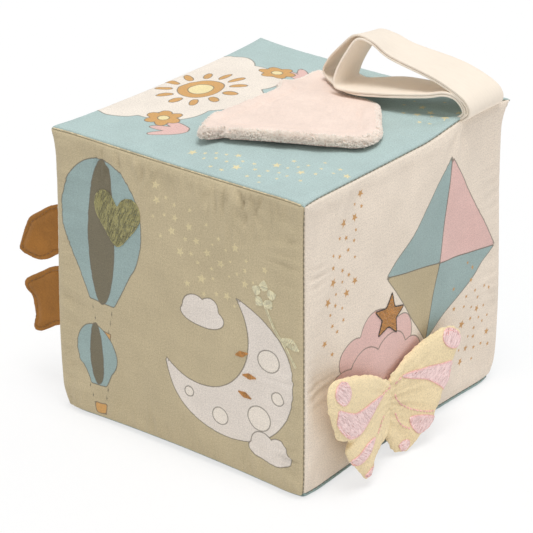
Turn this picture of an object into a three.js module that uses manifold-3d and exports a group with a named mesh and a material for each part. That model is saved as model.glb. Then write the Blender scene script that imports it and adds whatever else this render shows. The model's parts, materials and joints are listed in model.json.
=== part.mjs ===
// A soft activity block for a baby: a foam cube covered with six sewn cotton panels. A plush flap
// and a loop of cotton tape lie on its top, a padded butterfly is sewn to its right side by the
// gathered middle, two velvet leaves stand out of its left side, and a rattle sits in the foam.
//
// Millimetres, +Z up. The origin is the centre of the base, on the surface that the block stands
// on. The front side faces -Y and the right side +X.

import * as THREE from 'three';
import { mergeVertices } from 'three/addons/utils/BufferGeometryUtils.js';
import Module from 'manifold-3d';

const wasm = await Module();
wasm.setup();

// Block
const blockWidth = 148;
const blockDepth = 154;
const blockHeight = 147;
const edgeRadius = 2.5;
const faceCrown = 3;
const baseCrown = 0.5;
const edgeDraw = 1.4;
const cornerReach = 1.5;
const tapeCornerReach = 3.5;
const lowerCornerDraw = 2.5;
const panelThickness = 2;

// Clearances
const seatGap = 0.3;
const cutOverrun = 10;

// Rattle, in a bore of the foam
const rattleRadius = 17;
const rattleHeight = 26;
const rattleWall = 1.4;
const rattleLipDepth = 5;
const rattleSplitShare = 0.55;
const beadRadius = 2.6;
const beadRingRadius = 9;
const beadCount = 5;

// Flap on the top: a roof shape in plush, sewn down at its back
const flapEaveX = -13;
const flapLength = 73;
const flapHalfWidth = 51;
const flapCentreFromBack = 84;
const flapTurn = THREE.MathUtils.degToRad(4);
const flapHingeFromBack = 61;
const plushThickness = 3.9;
const pressedThickness = 1.9;
const plushEdgeShare = 0.65;
const flapPressedFromBack = 50;
const liningThickness = 0.8;
const liningInset = 1.6;

// Tape loop, sewn in the seam between the top and the right side
const tapeWidth = 28;
const tapeThickness = 0.9;
const tapeFromBack = 6;
const tapeReach = 60;
const tapeRise = 31;
const tapeDrift = 24;
const tapeTilt = 6;
const tapeLean = 7;
const tapeEndsDepth = 9;
const tapePull = 3.6;
const tapePullSpread = 44;
const tapePullPower = 4;
const tapeEndsProud = 0.5;
const outerFootReach = 18;
const outerFootBack = 17;
const outerFootDrop = 2.5;

// Butterfly on the right side
const butterflyFromFront = 57.5;
const bodyWidth = 4.4;
const bodyThickness = 4.2;
const bodyLow = 17;
const bodyHeight = 25;
const leftWingSpan = 51;
const rightWingSpan = 49;
const wingLow = 4;
const wingHeight = 57;
const wingFrontThickness = 3.4;
const wingBackThickness = 1.1;
const wingEdgeThickness = 0.5;
const wingRootThickness = 0.6;
const wingRootGap = 0.8;
const wingStandOff = 5;
const wingTailLift = 9;

// Velvet leaves on the left side
const leavesFromFront = 11;
const leafReach = 30.5;
const upperLeafLow = 69;
const upperLeafHeight = 34.5;
const lowerLeafLow = 30;
const lowerLeafHeight = 41;
const leafLayerThickness = 1.2;
const leafEdgeThickness = 0.6;
const leafSway = 3;

const halfSides = [blockWidth / 2, blockDepth / 2, blockHeight / 2];
const [halfWidth, halfDepth, halfHeight] = halfSides;
const blockCentre = new THREE.Vector3(0, 0, halfHeight);
const tapeSeamFarY = halfDepth - tapeFromBack;
const tapeSeamNearY = tapeSeamFarY - tapeWidth;
const tapeSeamMiddleY = (tapeSeamNearY + tapeSeamFarY) / 2;
const flapCentreY = halfDepth - flapCentreFromBack;
const flapHingeY = halfDepth - flapHingeFromBack;
const flapPressedY = halfDepth - flapPressedFromBack;
const butterflyY = butterflyFromFront - halfDepth;
const leafHingeY = leavesFromFront - halfDepth;

// Rows of the block's faces, as shares of half a side, between its middle and its rounded edge
const outerRowShares = [0, 0.3, 0.6, 0.84];
const innerRowShares = [0, 0.6];
const edgeRowShares = [0, Math.tan(Math.PI / 8), 1];
const edgeDrawPower = 4;
// The filling sags: an upright edge is drawn in a little in its upper half and stands out below
const uprightDrawShare = -0.4;
const uprightSagShare = 1.2;
// A corner's own form begins at this share of each half side
const cornerStartShare = 0.8;

// Solids and meshes

function toSolid(geometry) {
  const plain = geometry.clone();
  for (const name of Object.keys(plain.attributes)) {
    if (name !== 'position') plain.deleteAttribute(name);
  }
  const merged = mergeVertices(plain);
  return new wasm.Manifold(
    new wasm.Mesh({
      numProp: 3,
      vertProperties: merged.attributes.position.array,
      triVerts: new Uint32Array(merged.index.array),
    }),
  );
}

function toGeometry(solid) {
  const mesh = solid.getMesh();
  const geometry = new THREE.BufferGeometry();
  geometry.setAttribute('position', new THREE.BufferAttribute(mesh.vertProperties, mesh.numProp));
  geometry.setIndex(new THREE.BufferAttribute(mesh.triVerts, 1));
  geometry.computeVertexNormals();
  return geometry;
}

// A grid of points, rows by columns, turned into triangles. Points that meet are merged later.
function facesOf(grid, closedRows) {
  const triangles = [];
  for (let i = 0; i + 1 < grid.length; i += 1) {
    const columns = grid[i].length;
    const last = closedRows ? columns : columns - 1;
    for (let j = 0; j < last; j += 1) {
      const k = (j + 1) % columns;
      triangles.push([grid[i][j], grid[i + 1][j], grid[i + 1][k]]);
      triangles.push([grid[i][j], grid[i + 1][k], grid[i][k]]);
    }
  }
  return triangles;
}

function turnedOver(triangles) {
  return triangles.map((triangle) => [...triangle].reverse());
}

// Leaves out triangles that have closed up to a line, as at the middle of a pad.
function geometryOf(triangles) {
  const kept = triangles.filter(([a, b, c]) => a !== b && b !== c && c !== a);
  const positions = kept.flat().flatMap((p) => p.toArray());
  const geometry = new THREE.BufferGeometry();
  geometry.setAttribute('position', new THREE.Float32BufferAttribute(positions, 3));
  return geometry;
}

function boxSolid(low, high) {
  const size = new THREE.Vector3().subVectors(high, low);
  const middle = new THREE.Vector3().addVectors(low, high).multiplyScalar(1 / 2);
  return toSolid(new THREE.BoxGeometry(size.x, size.y, size.z).translate(...middle.toArray()));
}

// The block's soft cube: crowned faces, drawn-in edges and rounded corners

// The tape pulls up the seam that it is sewn in.
function tapePullAt([x, y, z]) {
  const away = (y * halfDepth - tapeSeamMiddleY) / tapePullSpread;
  const near = Math.max(0, 1 - away * away) ** 2;
  return tapePull * near * (Math.max(0, x) * Math.max(0, z)) ** tapePullPower;
}

// The upper corners stand out a little, the one beside the tape most. The lower ones are drawn in.
function cornerStandAt([x, y, z]) {
  const upper = x > 0 && y > 0 ? tapeCornerReach : cornerReach;
  const reach = z > 0 ? upper : -lowerCornerDraw;
  const near = [x, y, z].map(
    (share) => Math.max(0, Math.abs(share) - cornerStartShare) / (1 - cornerStartShare),
  );
  return reach * near.reduce((product, share) => product * share * share, 1);
}

function cushionPoint(unit, inset) {
  const radius = edgeRadius - inset / 2;
  const reach = halfSides.map((side) => side - inset);
  const flat = new THREE.Vector3(...unit.map((share, i) => share * reach[i]));
  const held = flat.toArray().map((c, i) => THREE.MathUtils.clamp(c, radius - reach[i], reach[i] - radius));
  const round = new THREE.Vector3(...held);
  const point = round.clone().add(flat.sub(round).setLength(radius)).toArray();
  for (let i = 0; i < point.length; i += 1) {
    const own = unit[i];
    const crown = i === 2 && own < 0 ? baseCrown : faceCrown;
    const others = [0, 1, 2].filter((axis) => axis !== i);
    const [b, c] = others.map((axis) => unit[axis]);
    let move = crown * (1 - b * b) * (1 - c * c);
    for (const other of others) {
      const along = unit[3 - i - other];
      const upright = i !== 2 && other !== 2;
      const sag = upright ? uprightDrawShare + uprightSagShare * along : 1;
      move -= edgeDraw * sag * Math.abs(own * unit[other]) ** edgeDrawPower * (1 - along * along);
    }
    point[i] += Math.sign(own) * move;
  }
  point[0] += Math.sign(unit[0]) * cornerStandAt(unit);
  point[1] += Math.sign(unit[1]) * cornerStandAt(unit);
  point[2] += tapePullAt(unit);
  return new THREE.Vector3(...point).add(blockCentre);
}

function cushionRows(side, shares) {
  const edge = edgeRadius / side;
  const positive = [...shares, ...edgeRowShares.map((share) => 1 - edge + share * edge)];
  return [...positive.slice(1).reverse().map((row) => -row), ...positive];
}

function cushionSolid(inset, shares) {
  const triangles = [];
  for (let axis = 0; axis < 3; axis += 1) {
    const [first, second] = [(axis + 1) % 3, (axis + 2) % 3];
    const firstRows = cushionRows(halfSides[first], shares);
    const secondRows = cushionRows(halfSides[second], shares);
    for (const side of [-1, 1]) {
      const grid = firstRows.map((u) => secondRows.map((v) => {
        const unit = [];
        unit[axis] = side;
        unit[first] = u * side;
        unit[second] = v;
        return cushionPoint(unit, inset);
      }));
      triangles.push(...facesOf(grid, false));
    }
  }
  return toSolid(geometryOf(triangles));
}

function topHeight(x, y) {
  return cushionPoint([x / halfWidth, y / halfDepth, 1], 0).z;
}

// How far out a side face is at a place on it: the right one for side 1, the left one for -1
function sideReach(side, y, z) {
  return Math.abs(cushionPoint([side, y / halfDepth, z / halfHeight - 1], 0).x);
}

const aboveBase = boxSolid(
  new THREE.Vector3(-blockWidth, -blockDepth, 0),
  new THREE.Vector3(blockWidth, blockDepth, blockHeight + cutOverrun),
);
const outerCushion = cushionSolid(0, outerRowShares).intersect(aboveBase);
const innerCushion = cushionSolid(panelThickness, innerRowShares);
const coreCushion = cushionSolid(panelThickness + seatGap, innerRowShares);

// Cover panels: six mitred skins, cut from the hollow cushion by a pyramid each

function facePyramid(normal) {
  const pyramid = new THREE.ConeGeometry(2 * Math.SQRT2, 2, 4, 1, false, Math.PI / 4);
  pyramid.translate(0, -1 - seatGap / Math.SQRT2 / halfHeight, 0);
  const turn = new THREE.Quaternion().setFromUnitVectors(new THREE.Vector3(0, -1, 0), normal);
  pyramid.applyQuaternion(turn);
  pyramid.scale(...halfSides);
  pyramid.translate(...blockCentre.toArray());
  return toSolid(pyramid);
}

// Tape ends: both ends of the loop, caught in the seam between the top and the right side

const tapeLayers = 4;
const tapeStack = tapeLayers * tapeThickness + (tapeLayers - 1) * seatGap;
const outDiagonal = new THREE.Vector3(1, 0, 1).normalize();

const seamRidge = cushionPoint([1, tapeSeamMiddleY / halfDepth, 1], 0);
const tapeRoot = seamRidge.clone().addScaledVector(outDiagonal, tapeEndsProud + seatGap + tapeStack / 2);

function tapeEndsBox(clearance) {
  const depth = tapeEndsDepth + tapeEndsProud + 2 * clearance;
  const box = new THREE.BoxGeometry(depth, tapeWidth + 2 * clearance, tapeStack + 2 * clearance);
  box.translate((tapeEndsProud - tapeEndsDepth) / 2, 0, 0);
  box.rotateY(-Math.PI / 4);
  box.translate(...seamRidge.toArray());
  return toSolid(box);
}

const tapeSlot = tapeEndsBox(seatGap);

// Foam core, with a bore from its top for the rattle, and the plug that fills the bore

const rattleLow = (blockHeight - rattleHeight) / 2;
const rattleHigh = rattleLow + rattleHeight;
const boreSides = 32;

function verticalCylinder(radius, low, high) {
  const cylinder = new THREE.CylinderGeometry(radius, radius, high - low, boreSides);
  cylinder.rotateX(Math.PI / 2);
  cylinder.translate(0, 0, (low + high) / 2);
  return toSolid(cylinder);
}

function foamCore() {
  const top = blockHeight + cutOverrun;
  const bore = verticalCylinder(rattleRadius + seatGap, rattleLow - seatGap, top);
  return coreCushion.subtract(bore).subtract(tapeSlot);
}

function foamPlug() {
  const top = blockHeight + cutOverrun;
  return verticalCylinder(rattleRadius, rattleHigh + seatGap, top).intersect(coreCushion);
}

// Rattle: a cup and a lid with a lip, each turned from a closed profile

const rattleSplit = rattleLow + rattleHeight * rattleSplitShare;
const rattleSides = 28;

function turned(profile) {
  const points = profile.map(([radius, z]) => new THREE.Vector2(radius, z));
  const lathe = new THREE.LatheGeometry(points, rattleSides);
  return toSolid(lathe.rotateX(Math.PI / 2));
}

function rattleCup() {
  const inside = rattleRadius - rattleWall;
  return turned([
    [0, rattleLow],
    [rattleRadius - rattleWall, rattleLow],
    [rattleRadius, rattleLow + rattleWall],
    [rattleRadius, rattleSplit],
    [inside, rattleSplit],
    [inside, rattleLow + rattleWall],
    [0, rattleLow + rattleWall],
  ]);
}

function rattleLid() {
  const lipOutside = rattleRadius - rattleWall - seatGap;
  const lipInside = lipOutside - rattleWall;
  const edge = rattleSplit + seatGap;
  return turned([
    [0, rattleHigh - rattleWall],
    [lipInside, rattleHigh - rattleWall],
    [lipInside, edge - rattleLipDepth],
    [lipOutside, edge - rattleLipDepth],
    [lipOutside, edge],
    [rattleRadius, edge],
    [rattleRadius, rattleHigh - rattleWall],
    [rattleRadius - rattleWall, rattleHigh],
    [0, rattleHigh],
  ]);
}

function beadPlace(index) {
  const turn = (index / beadCount) * 2 * Math.PI;
  const low = rattleLow + rattleWall + seatGap + beadRadius;
  return new THREE.Vector3(beadRingRadius * Math.cos(turn), beadRingRadius * Math.sin(turn), low);
}

// Pads: a soft flat piece inside a smooth outline. Rings run from the pad's middle out to the
// outline. low and high give its two faces at a place and a ring, and place lays it in space.

function smoothOutline(corners, steps) {
  const curve = new THREE.SplineCurve([...corners, corners[0]]);
  const outline = curve.getPoints(steps).slice(0, steps);
  if (THREE.ShapeUtils.area(outline) < 0) outline.reverse();
  return outline;
}

function padSolid({ outline, middle, ringShares, low, high, place, mirrored }) {
  const rim = mirrored ? [...outline].reverse() : outline;
  const sheet = (height) => ringShares.map((share) => {
    if (share === 0) {
      const point = place(middle.x, middle.y, height(middle, share));
      return rim.map(() => point);
    }
    return rim.map((corner) => {
      const at = middle.clone().lerp(corner, share);
      return place(at.x, at.y, height(at, share));
    });
  });
  const top = sheet(high);
  const bottom = sheet(low);
  const triangles = [
    ...facesOf(top, true),
    ...facesOf([...bottom].reverse(), true),
    ...facesOf([top.at(-1), bottom.at(-1)], true),
  ];
  return toSolid(geometryOf(triangles));
}

const plushRingShares = [0, 0.4, 0.7, 0.88, 0.96, 1];
const liningRingShares = [0, 0.5, 0.85, 1];
const padRingShares = [0, 0.45, 0.75, 0.92, 1];
const padRoundPower = 6;

// A pad's thickness at a ring: full inside, falling in a rounded step to its edge.
function roundedThickness(full, edge, share) {
  return edge + (full - edge) * Math.sqrt(1 - share ** padRoundPower);
}

// Flap: the eave is to the left, the rounded top of the roof to the right. Half its outline, as
// shares of its length and of its half width
const flapHalfShares = [
  [0, 0.2], [0.005, 0.45], [0.015, 0.7], [0.035, 0.9], [0.08, 1], [0.14, 0.94], [0.23, 0.79],
  [0.4, 0.68], [0.6, 0.585], [0.76, 0.47], [0.88, 0.33], [0.955, 0.19], [0.992, 0.07],
];
const flapSteps = 56;
const flapMiddleShare = 1 / 3;

const flapEaveMiddle = new THREE.Vector2(flapEaveX, flapCentreY);

function flapOutline(inset) {
  const corner = (along, across) => {
    const local = new THREE.Vector2(
      inset + along * (flapLength - 2 * inset),
      across * (flapHalfWidth - inset),
    );
    return local.rotateAround(new THREE.Vector2(), flapTurn).add(flapEaveMiddle);
  };
  const front = flapHalfShares.map(([along, across]) => corner(along, -across));
  const back = [...flapHalfShares].reverse().map(([along, across]) => corner(along, across));
  return smoothOutline([...front, ...back], flapSteps);
}

// The flap lies on the crowned top.
function flapPlace(x, y, height) {
  return new THREE.Vector3(x, y, topHeight(x, y) + seatGap + height);
}

const flapMiddle = new THREE.Vector2(flapEaveX + flapLength * flapMiddleShare, flapCentreY);

function wholePlush() {
  const under = liningThickness + seatGap;
  return padSolid({
    outline: flapOutline(0),
    middle: flapMiddle,
    ringShares: plushRingShares,
    low: () => under,
    high: (at, share) => {
      const pressed = THREE.MathUtils.smoothstep(at.y, flapHingeY, flapPressedY);
      const full = THREE.MathUtils.lerp(plushThickness, pressedThickness, pressed);
      return under + roundedThickness(full, full * plushEdgeShare, share);
    },
    place: flapPlace,
  });
}

function wholeLining() {
  return padSolid({
    outline: flapOutline(liningInset),
    middle: flapMiddle,
    ringShares: liningRingShares,
    low: () => 0,
    high: () => liningThickness,
    place: flapPlace,
  });
}

function flapHalfSpace(front) {
  const low = new THREE.Vector3(-halfWidth, front ? -halfDepth : flapHingeY + seatGap / 2, halfHeight);
  const high = new THREE.Vector3(
    halfWidth,
    front ? flapHingeY - seatGap / 2 : halfDepth,
    blockHeight + halfHeight,
  );
  return boxSolid(low, high);
}

// Tape loop. Each layer is a ribbon between a near and a far edge. A station is a place on the
// near edge with the way its far edge leans and tilts: shares of the loop's reach, rise, drift,
// tilt and lean. The last number is how much the outer layer is pushed out to its foot there
const loopShares = [
  [0, 0, 0, 0, 0, 0],
  [0.065, 0.21, 0.08, 0.3, 0.3, 0],
  [0.15, 0.29, 0.21, 0.6, 0.75, 0],
  [0.29, 0.235, 0.36, 0.65, 0.95, 0],
  [0.57, 0.19, 0.68, 0.2, 1, 0],
  [0.85, 0.175, 0.94, 0.5, 0.85, 0.1],
  [0.975, 0.225, 1, 0.7, 0.8, 0.9],
  [0.985, 0.45, 0.92, 0.85, 0.75, 0.75],
  [0.93, 0.755, 0.77, 1, 0.8, 0.38],
  [0.86, 0.97, 0.64, 1, 0.85, 0.12],
  [0.74, 0.925, 0.55, 0.85, 0.8, 0],
  [0.595, 0.74, 0.465, 0.5, 0.7, 0],
  [0.3, 0.53, 0.26, 0.13, 0.5, 0],
  [0.145, 0.385, 0.15, 0, 0.3, 0],
  [0.005, 0.2, 0.06, 0, 0.05, 0],
  [0, 0, 0, 0, 0, 0],
];
const tapeSteps = 60;
const layerPitch = tapeThickness + seatGap;

function loopEdges(outer) {
  const near = [];
  const far = [];
  loopShares.forEach(([reach, rise, drift, tilt, lean, foot], index) => {
    const atRoot = index === 0 ? -layerPitch : index === loopShares.length - 1 ? layerPitch : 0;
    const push = outer ? foot : 0;
    const point = new THREE.Vector3(
      tapeRoot.x - reach * tapeReach - push * outerFootReach + atRoot,
      tapeSeamNearY - drift * tapeDrift + push * outerFootBack,
      tapeRoot.z + rise * tapeRise - push * outerFootDrop,
    );
    const [drop, back] = [tilt * tapeTilt, lean * tapeLean];
    const across = Math.sqrt(tapeWidth ** 2 - drop ** 2 - back ** 2);
    near.push(point);
    far.push(point.clone().add(new THREE.Vector3(-back, across, -drop)));
  });
  return [near, far];
}

function tapeLayer(outer) {
  const [near, far] = loopEdges(outer).map((points) => new THREE.CatmullRomCurve3(points));
  const offset = (outer ? -1 : 1) * layerPitch / 2;
  const rings = [];
  for (let i = 0; i <= tapeSteps; i += 1) {
    const share = i / tapeSteps;
    const [a, b] = [near.getPoint(share), far.getPoint(share)];
    const along = near.getTangent(share).add(far.getTangent(share)).normalize();
    const across = new THREE.Vector3().subVectors(b, a).normalize();
    const out = new THREE.Vector3().crossVectors(across, along).normalize();
    const low = out.clone().multiplyScalar(offset - tapeThickness / 2);
    const high = out.clone().multiplyScalar(offset + tapeThickness / 2);
    rings.push([a.clone().add(low), b.clone().add(low), b.clone().add(high), a.clone().add(high)]);
  }
  // Both faces are split along the same diagonals, so that the layers stay clear of each other.
  const strip = (first, second) => facesOf(rings.map((ring) => [ring[first], ring[second]]), false);
  const cap = ([a, b, c, d]) => [[a, b, c], [a, c, d]];
  return toSolid(geometryOf([
    ...strip(0, 1),
    ...turnedOver(strip(3, 2)),
    ...strip(1, 2),
    ...strip(3, 0),
    ...cap(rings[0]),
    ...turnedOver(cap(rings.at(-1))),
  ]));
}

// Butterfly. Each wing is a front and a back, on the hinge line beside the gathered middle

const hingeX = sideReach(1, butterflyY, bodyLow + bodyHeight) + seatGap + bodyThickness / 2;
const bodyEndSteps = 4;
const bodySides = 14;

function butterflyBody() {
  const straight = bodyHeight - bodyWidth;
  const capsule = new THREE.CapsuleGeometry(bodyWidth / 2, straight, bodyEndSteps, bodySides);
  capsule.rotateX(Math.PI / 2);
  capsule.scale(bodyThickness / bodyWidth, 1, 1);
  capsule.translate(hingeX, butterflyY, bodyLow + bodyHeight / 2);
  return toSolid(capsule);
}

// Outlines of the wings from the root out, as shares of the span and of the height
const leftWingShares = [
  [0.01, 0.68], [0.26, 0.81], [0.57, 0.92], [0.86, 1], [0.99, 0.93], [0.98, 0.78], [0.93, 0.62],
  [0.89, 0.5], [0.79, 0.44], [0.69, 0.4], [0.76, 0.34], [0.74, 0.24], [0.65, 0.15], [0.54, 0.02],
  [0.45, 0.01], [0.35, 0.09], [0.2, 0.14], [0.06, 0.2], [0, 0.42],
];
const rightWingShares = [
  [0.03, 0.7], [0.25, 0.84], [0.47, 0.9], [0.66, 0.93], [0.83, 0.91], [0.95, 0.84], [0.97, 0.77],
  [0.91, 0.69], [0.79, 0.55], [0.72, 0.42], [0.62, 0.33], [0.56, 0.25], [0.47, 0.17], [0.44, 0.1],
  [0.33, 0.05], [0.24, 0.01], [0.18, -0.05], [0.1, -0.05], [0.03, 0.03], [0, 0.3],
];
const wingMiddleShares = [0.34, 0.46];
const wingSteps = 40;
// A wing is gathered from its root to this share of its span
const wingGatherShare = 1 / 3;

function wing(side, span, shares, front) {
  const corners = shares.map(([out, up]) => new THREE.Vector2(out * span, up * wingHeight));
  const root = bodyWidth / 2 + wingRootGap;
  const place = (out, up, height) => {
    const tail = wingTailLift * Math.sqrt(Math.max(0, out / span)) * (1 - up / wingHeight) ** 2;
    const x = hingeX + wingStandOff * (out / span) + tail + height;
    return new THREE.Vector3(x, butterflyY + side * (root + out), wingLow + up);
  };
  const thickness = (at, share) => {
    const full = front ? wingFrontThickness : wingBackThickness;
    const gathered = THREE.MathUtils.smoothstep(at.x, 0, span * wingGatherShare);
    const body = THREE.MathUtils.lerp(Math.min(wingRootThickness, full), full, gathered);
    return roundedThickness(body, wingEdgeThickness, share);
  };
  return padSolid({
    outline: smoothOutline(corners, wingSteps),
    mirrored: side < 0,
    middle: new THREE.Vector2(wingMiddleShares[0] * span, wingMiddleShares[1] * wingHeight),
    ringShares: padRingShares,
    low: (at, share) => (front ? seatGap / 2 : -seatGap / 2 - thickness(at, share)),
    high: (at, share) => (front ? seatGap / 2 + thickness(at, share) : -seatGap / 2),
    place,
  });
}

// Velvet leaves, each of two layers, hinged where they are sewn to the left side

const upperLeafShares = [
  [0, 0.98], [0.32, 0.9], [0.6, 0.74], [0.78, 0.62], [0.88, 0.42], [0.98, 0.16], [0.95, 0.07],
  [0.78, 0.02], [0.64, 0], [0.45, 0.05], [0.25, 0.17], [0, 0.32],
];
const lowerLeafShares = [
  [0, 0.98], [0.34, 0.92], [0.6, 0.8], [0.86, 0.68], [0.92, 0.6], [0.88, 0.53], [0.78, 0.46],
  [0.75, 0.34], [0.73, 0.2], [0.78, 0.06], [0.72, 0], [0.58, 0.03], [0.3, 0.16], [0, 0.28],
];
const leafMiddleShares = [0.42, 0.42];
const leafSteps = 32;

function leaf(shares, low, height, side) {
  const hingeOut = sideReach(-1, leafHingeY, low + height / 2) + seatGap + leafLayerThickness;
  const corners = shares.map(([out, up]) => new THREE.Vector2(out * leafReach, up * height));
  const inner = seatGap / 2;
  const thickness = (at, share) => roundedThickness(leafLayerThickness, leafEdgeThickness, share);
  const place = (out, up, across) => {
    const sway = leafSway * (out / leafReach) ** 2;
    return new THREE.Vector3(-hingeOut - out, leafHingeY - sway - across, low + up);
  };
  return padSolid({
    outline: smoothOutline(corners, leafSteps),
    mirrored: true,
    middle: new THREE.Vector2(leafMiddleShares[0] * leafReach, leafMiddleShares[1] * height),
    ringShares: padRingShares,
    low: (at, share) => (side > 0 ? inner : -inner - thickness(at, share)),
    high: (at, share) => (side > 0 ? inner + thickness(at, share) : -inner),
    place,
  });
}

// Materials

const cloth = (color) => new THREE.MeshStandardMaterial({ color, roughness: 0.9, metalness: 0 });
const foam = () => new THREE.MeshStandardMaterial({ color: 0xe9e2c8, roughness: 1, metalness: 0 });
const plastic = (color) => new THREE.MeshStandardMaterial({ color, roughness: 0.45, metalness: 0 });

const blueCotton = 0xb2cbca;
const oliveCotton = 0xbeb28e;
const creamCotton = 0xe6d8c6;
const paleCotton = 0xf2e7d2;
const tealCotton = 0x9bb3b0;
const pinkPlush = 0xfae4d9;
const pinkLining = 0xf0d5ca;
const creamTape = 0xfbefe1;
const yellowCotton = 0xeed9af;
const mustardVelvet = 0xa06a33;

// Assembly

const part = new THREE.Group();
part.name = 'soft_fabric_block';

function addNode(name, solid, material) {
  const mesh = new THREE.Mesh(toGeometry(solid), material);
  mesh.name = name;
  part.add(mesh);
}

const panels = [
  ['top_panel', new THREE.Vector3(0, 0, 1), blueCotton],
  ['bottom_panel', new THREE.Vector3(0, 0, -1), tealCotton],
  ['front_panel', new THREE.Vector3(0, -1, 0), oliveCotton],
  ['right_panel', new THREE.Vector3(1, 0, 0), creamCotton],
  ['back_panel', new THREE.Vector3(0, 1, 0), tealCotton],
  ['left_panel', new THREE.Vector3(-1, 0, 0), paleCotton],
];
const coverShell = outerCushion.subtract(innerCushion).subtract(tapeSlot);
for (const [name, normal, color] of panels) {
  addNode(name, coverShell.intersect(facePyramid(normal)), cloth(color));
}

addNode('foam_core', foamCore(), foam());
addNode('foam_plug', foamPlug(), foam());
addNode('rattle_cup', rattleCup(), plastic(0xf4f4f0));
addNode('rattle_lid', rattleLid(), plastic(0xf4f4f0));
for (let index = 0; index < beadCount; index += 1) {
  const bead = new THREE.IcosahedronGeometry(beadRadius, 1).translate(...beadPlace(index).toArray());
  addNode(`rattle_bead_${index + 1}`, toSolid(bead), plastic(0xd9c27a));
}

const plush = wholePlush();
const lining = wholeLining();
addNode('flap_plush', plush.intersect(flapHalfSpace(true)), cloth(pinkPlush));
addNode('flap_lining', lining.intersect(flapHalfSpace(true)), cloth(pinkLining));
addNode('flap_sewn_plush', plush.intersect(flapHalfSpace(false)), cloth(pinkPlush));
addNode('flap_sewn_lining', lining.intersect(flapHalfSpace(false)), cloth(pinkLining));

addNode('tape_ends', tapeEndsBox(0), cloth(creamTape));
addNode('tape_outer_layer', tapeLayer(true), cloth(creamTape));
addNode('tape_inner_layer', tapeLayer(false), cloth(creamTape));

addNode('butterfly_body', butterflyBody(), cloth(yellowCotton));
addNode('left_wing_front', wing(-1, leftWingSpan, leftWingShares, true), cloth(yellowCotton));
addNode('left_wing_back', wing(-1, leftWingSpan, leftWingShares, false), cloth(yellowCotton));
addNode('right_wing_front', wing(1, rightWingSpan, rightWingShares, true), cloth(yellowCotton));
addNode('right_wing_back', wing(1, rightWingSpan, rightWingShares, false), cloth(yellowCotton));

addNode('upper_leaf_front', leaf(upperLeafShares, upperLeafLow, upperLeafHeight, 1), cloth(mustardVelvet));
addNode('upper_leaf_back', leaf(upperLeafShares, upperLeafLow, upperLeafHeight, -1), cloth(mustardVelvet));
addNode('lower_leaf_front', leaf(lowerLeafShares, lowerLeafLow, lowerLeafHeight, 1), cloth(mustardVelvet));
addNode('lower_leaf_back', leaf(lowerLeafShares, lowerLeafLow, lowerLeafHeight, -1), cloth(mustardVelvet));

export default part;
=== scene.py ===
"""The looks of a soft activity block for a baby.

Six sewn cotton panels cover the foam. A plush flap and a loop of cotton tape lie on the top, a padded
butterfly is sewn to the right side, and two velvet leaves stand out of the left side. Every piece is
built in metres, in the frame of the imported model: +Z up, the front side to -Y, the right side to +X.
"""

import itertools
import json
import math
import random

import bpy
import numpy as np
from bpy.props import FloatProperty, FloatVectorProperty, IntProperty, PointerProperty
from bpy.types import Operator, Panel, PropertyGroup
from mathutils import Matrix, Vector
from mathutils.bvhtree import BVHTree


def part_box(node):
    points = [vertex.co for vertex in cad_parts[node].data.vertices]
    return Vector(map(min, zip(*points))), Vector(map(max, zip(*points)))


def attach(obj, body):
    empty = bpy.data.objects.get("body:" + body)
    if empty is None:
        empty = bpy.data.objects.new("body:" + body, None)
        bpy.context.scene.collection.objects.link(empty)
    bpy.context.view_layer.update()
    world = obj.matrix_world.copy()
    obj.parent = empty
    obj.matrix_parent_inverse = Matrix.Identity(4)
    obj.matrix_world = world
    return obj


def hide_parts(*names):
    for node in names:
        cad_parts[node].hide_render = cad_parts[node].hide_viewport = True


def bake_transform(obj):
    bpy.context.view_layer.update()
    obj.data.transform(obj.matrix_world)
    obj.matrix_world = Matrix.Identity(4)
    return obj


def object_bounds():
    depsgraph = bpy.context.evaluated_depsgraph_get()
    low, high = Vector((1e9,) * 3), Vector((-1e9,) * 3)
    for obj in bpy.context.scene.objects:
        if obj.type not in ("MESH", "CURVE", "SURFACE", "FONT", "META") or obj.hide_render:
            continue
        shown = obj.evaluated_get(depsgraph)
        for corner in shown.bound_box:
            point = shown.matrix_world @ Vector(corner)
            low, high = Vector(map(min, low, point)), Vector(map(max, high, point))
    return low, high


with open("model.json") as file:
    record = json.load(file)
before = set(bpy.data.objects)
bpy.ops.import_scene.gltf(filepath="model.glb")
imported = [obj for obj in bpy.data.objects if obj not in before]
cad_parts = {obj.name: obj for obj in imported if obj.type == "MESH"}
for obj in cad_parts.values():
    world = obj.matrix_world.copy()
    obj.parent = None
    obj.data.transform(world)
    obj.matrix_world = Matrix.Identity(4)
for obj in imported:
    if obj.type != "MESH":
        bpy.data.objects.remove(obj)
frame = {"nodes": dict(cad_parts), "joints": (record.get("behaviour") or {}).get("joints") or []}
cad_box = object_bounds()

bl_info = {
    "name": "Soft fabric block",
    "version": (1, 0, 0),
    "blender": (4, 5, 0),
    "location": "View3D > Sidebar > Fabric block",
    "description": "A baby's fabric block with a plush flap, a tape loop, a butterfly and velvet leaves",
    "category": "Object",
}

SEED = 7


# Sizes and colours that a user would change

def size(name, description, default):
    return FloatProperty(name=name, description=description, default=default, unit="LENGTH")


def angle(name, description, degrees):
    return FloatProperty(name=name, description=description, default=math.radians(degrees), subtype="ANGLE")


def amount(name, description, default):
    return FloatProperty(name=name, description=description, default=default)


def colour(name, description, default):
    return FloatVectorProperty(
        name=name, description=description, default=default, size=3, min=0, max=1, subtype="COLOR_GAMMA"
    )


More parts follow.
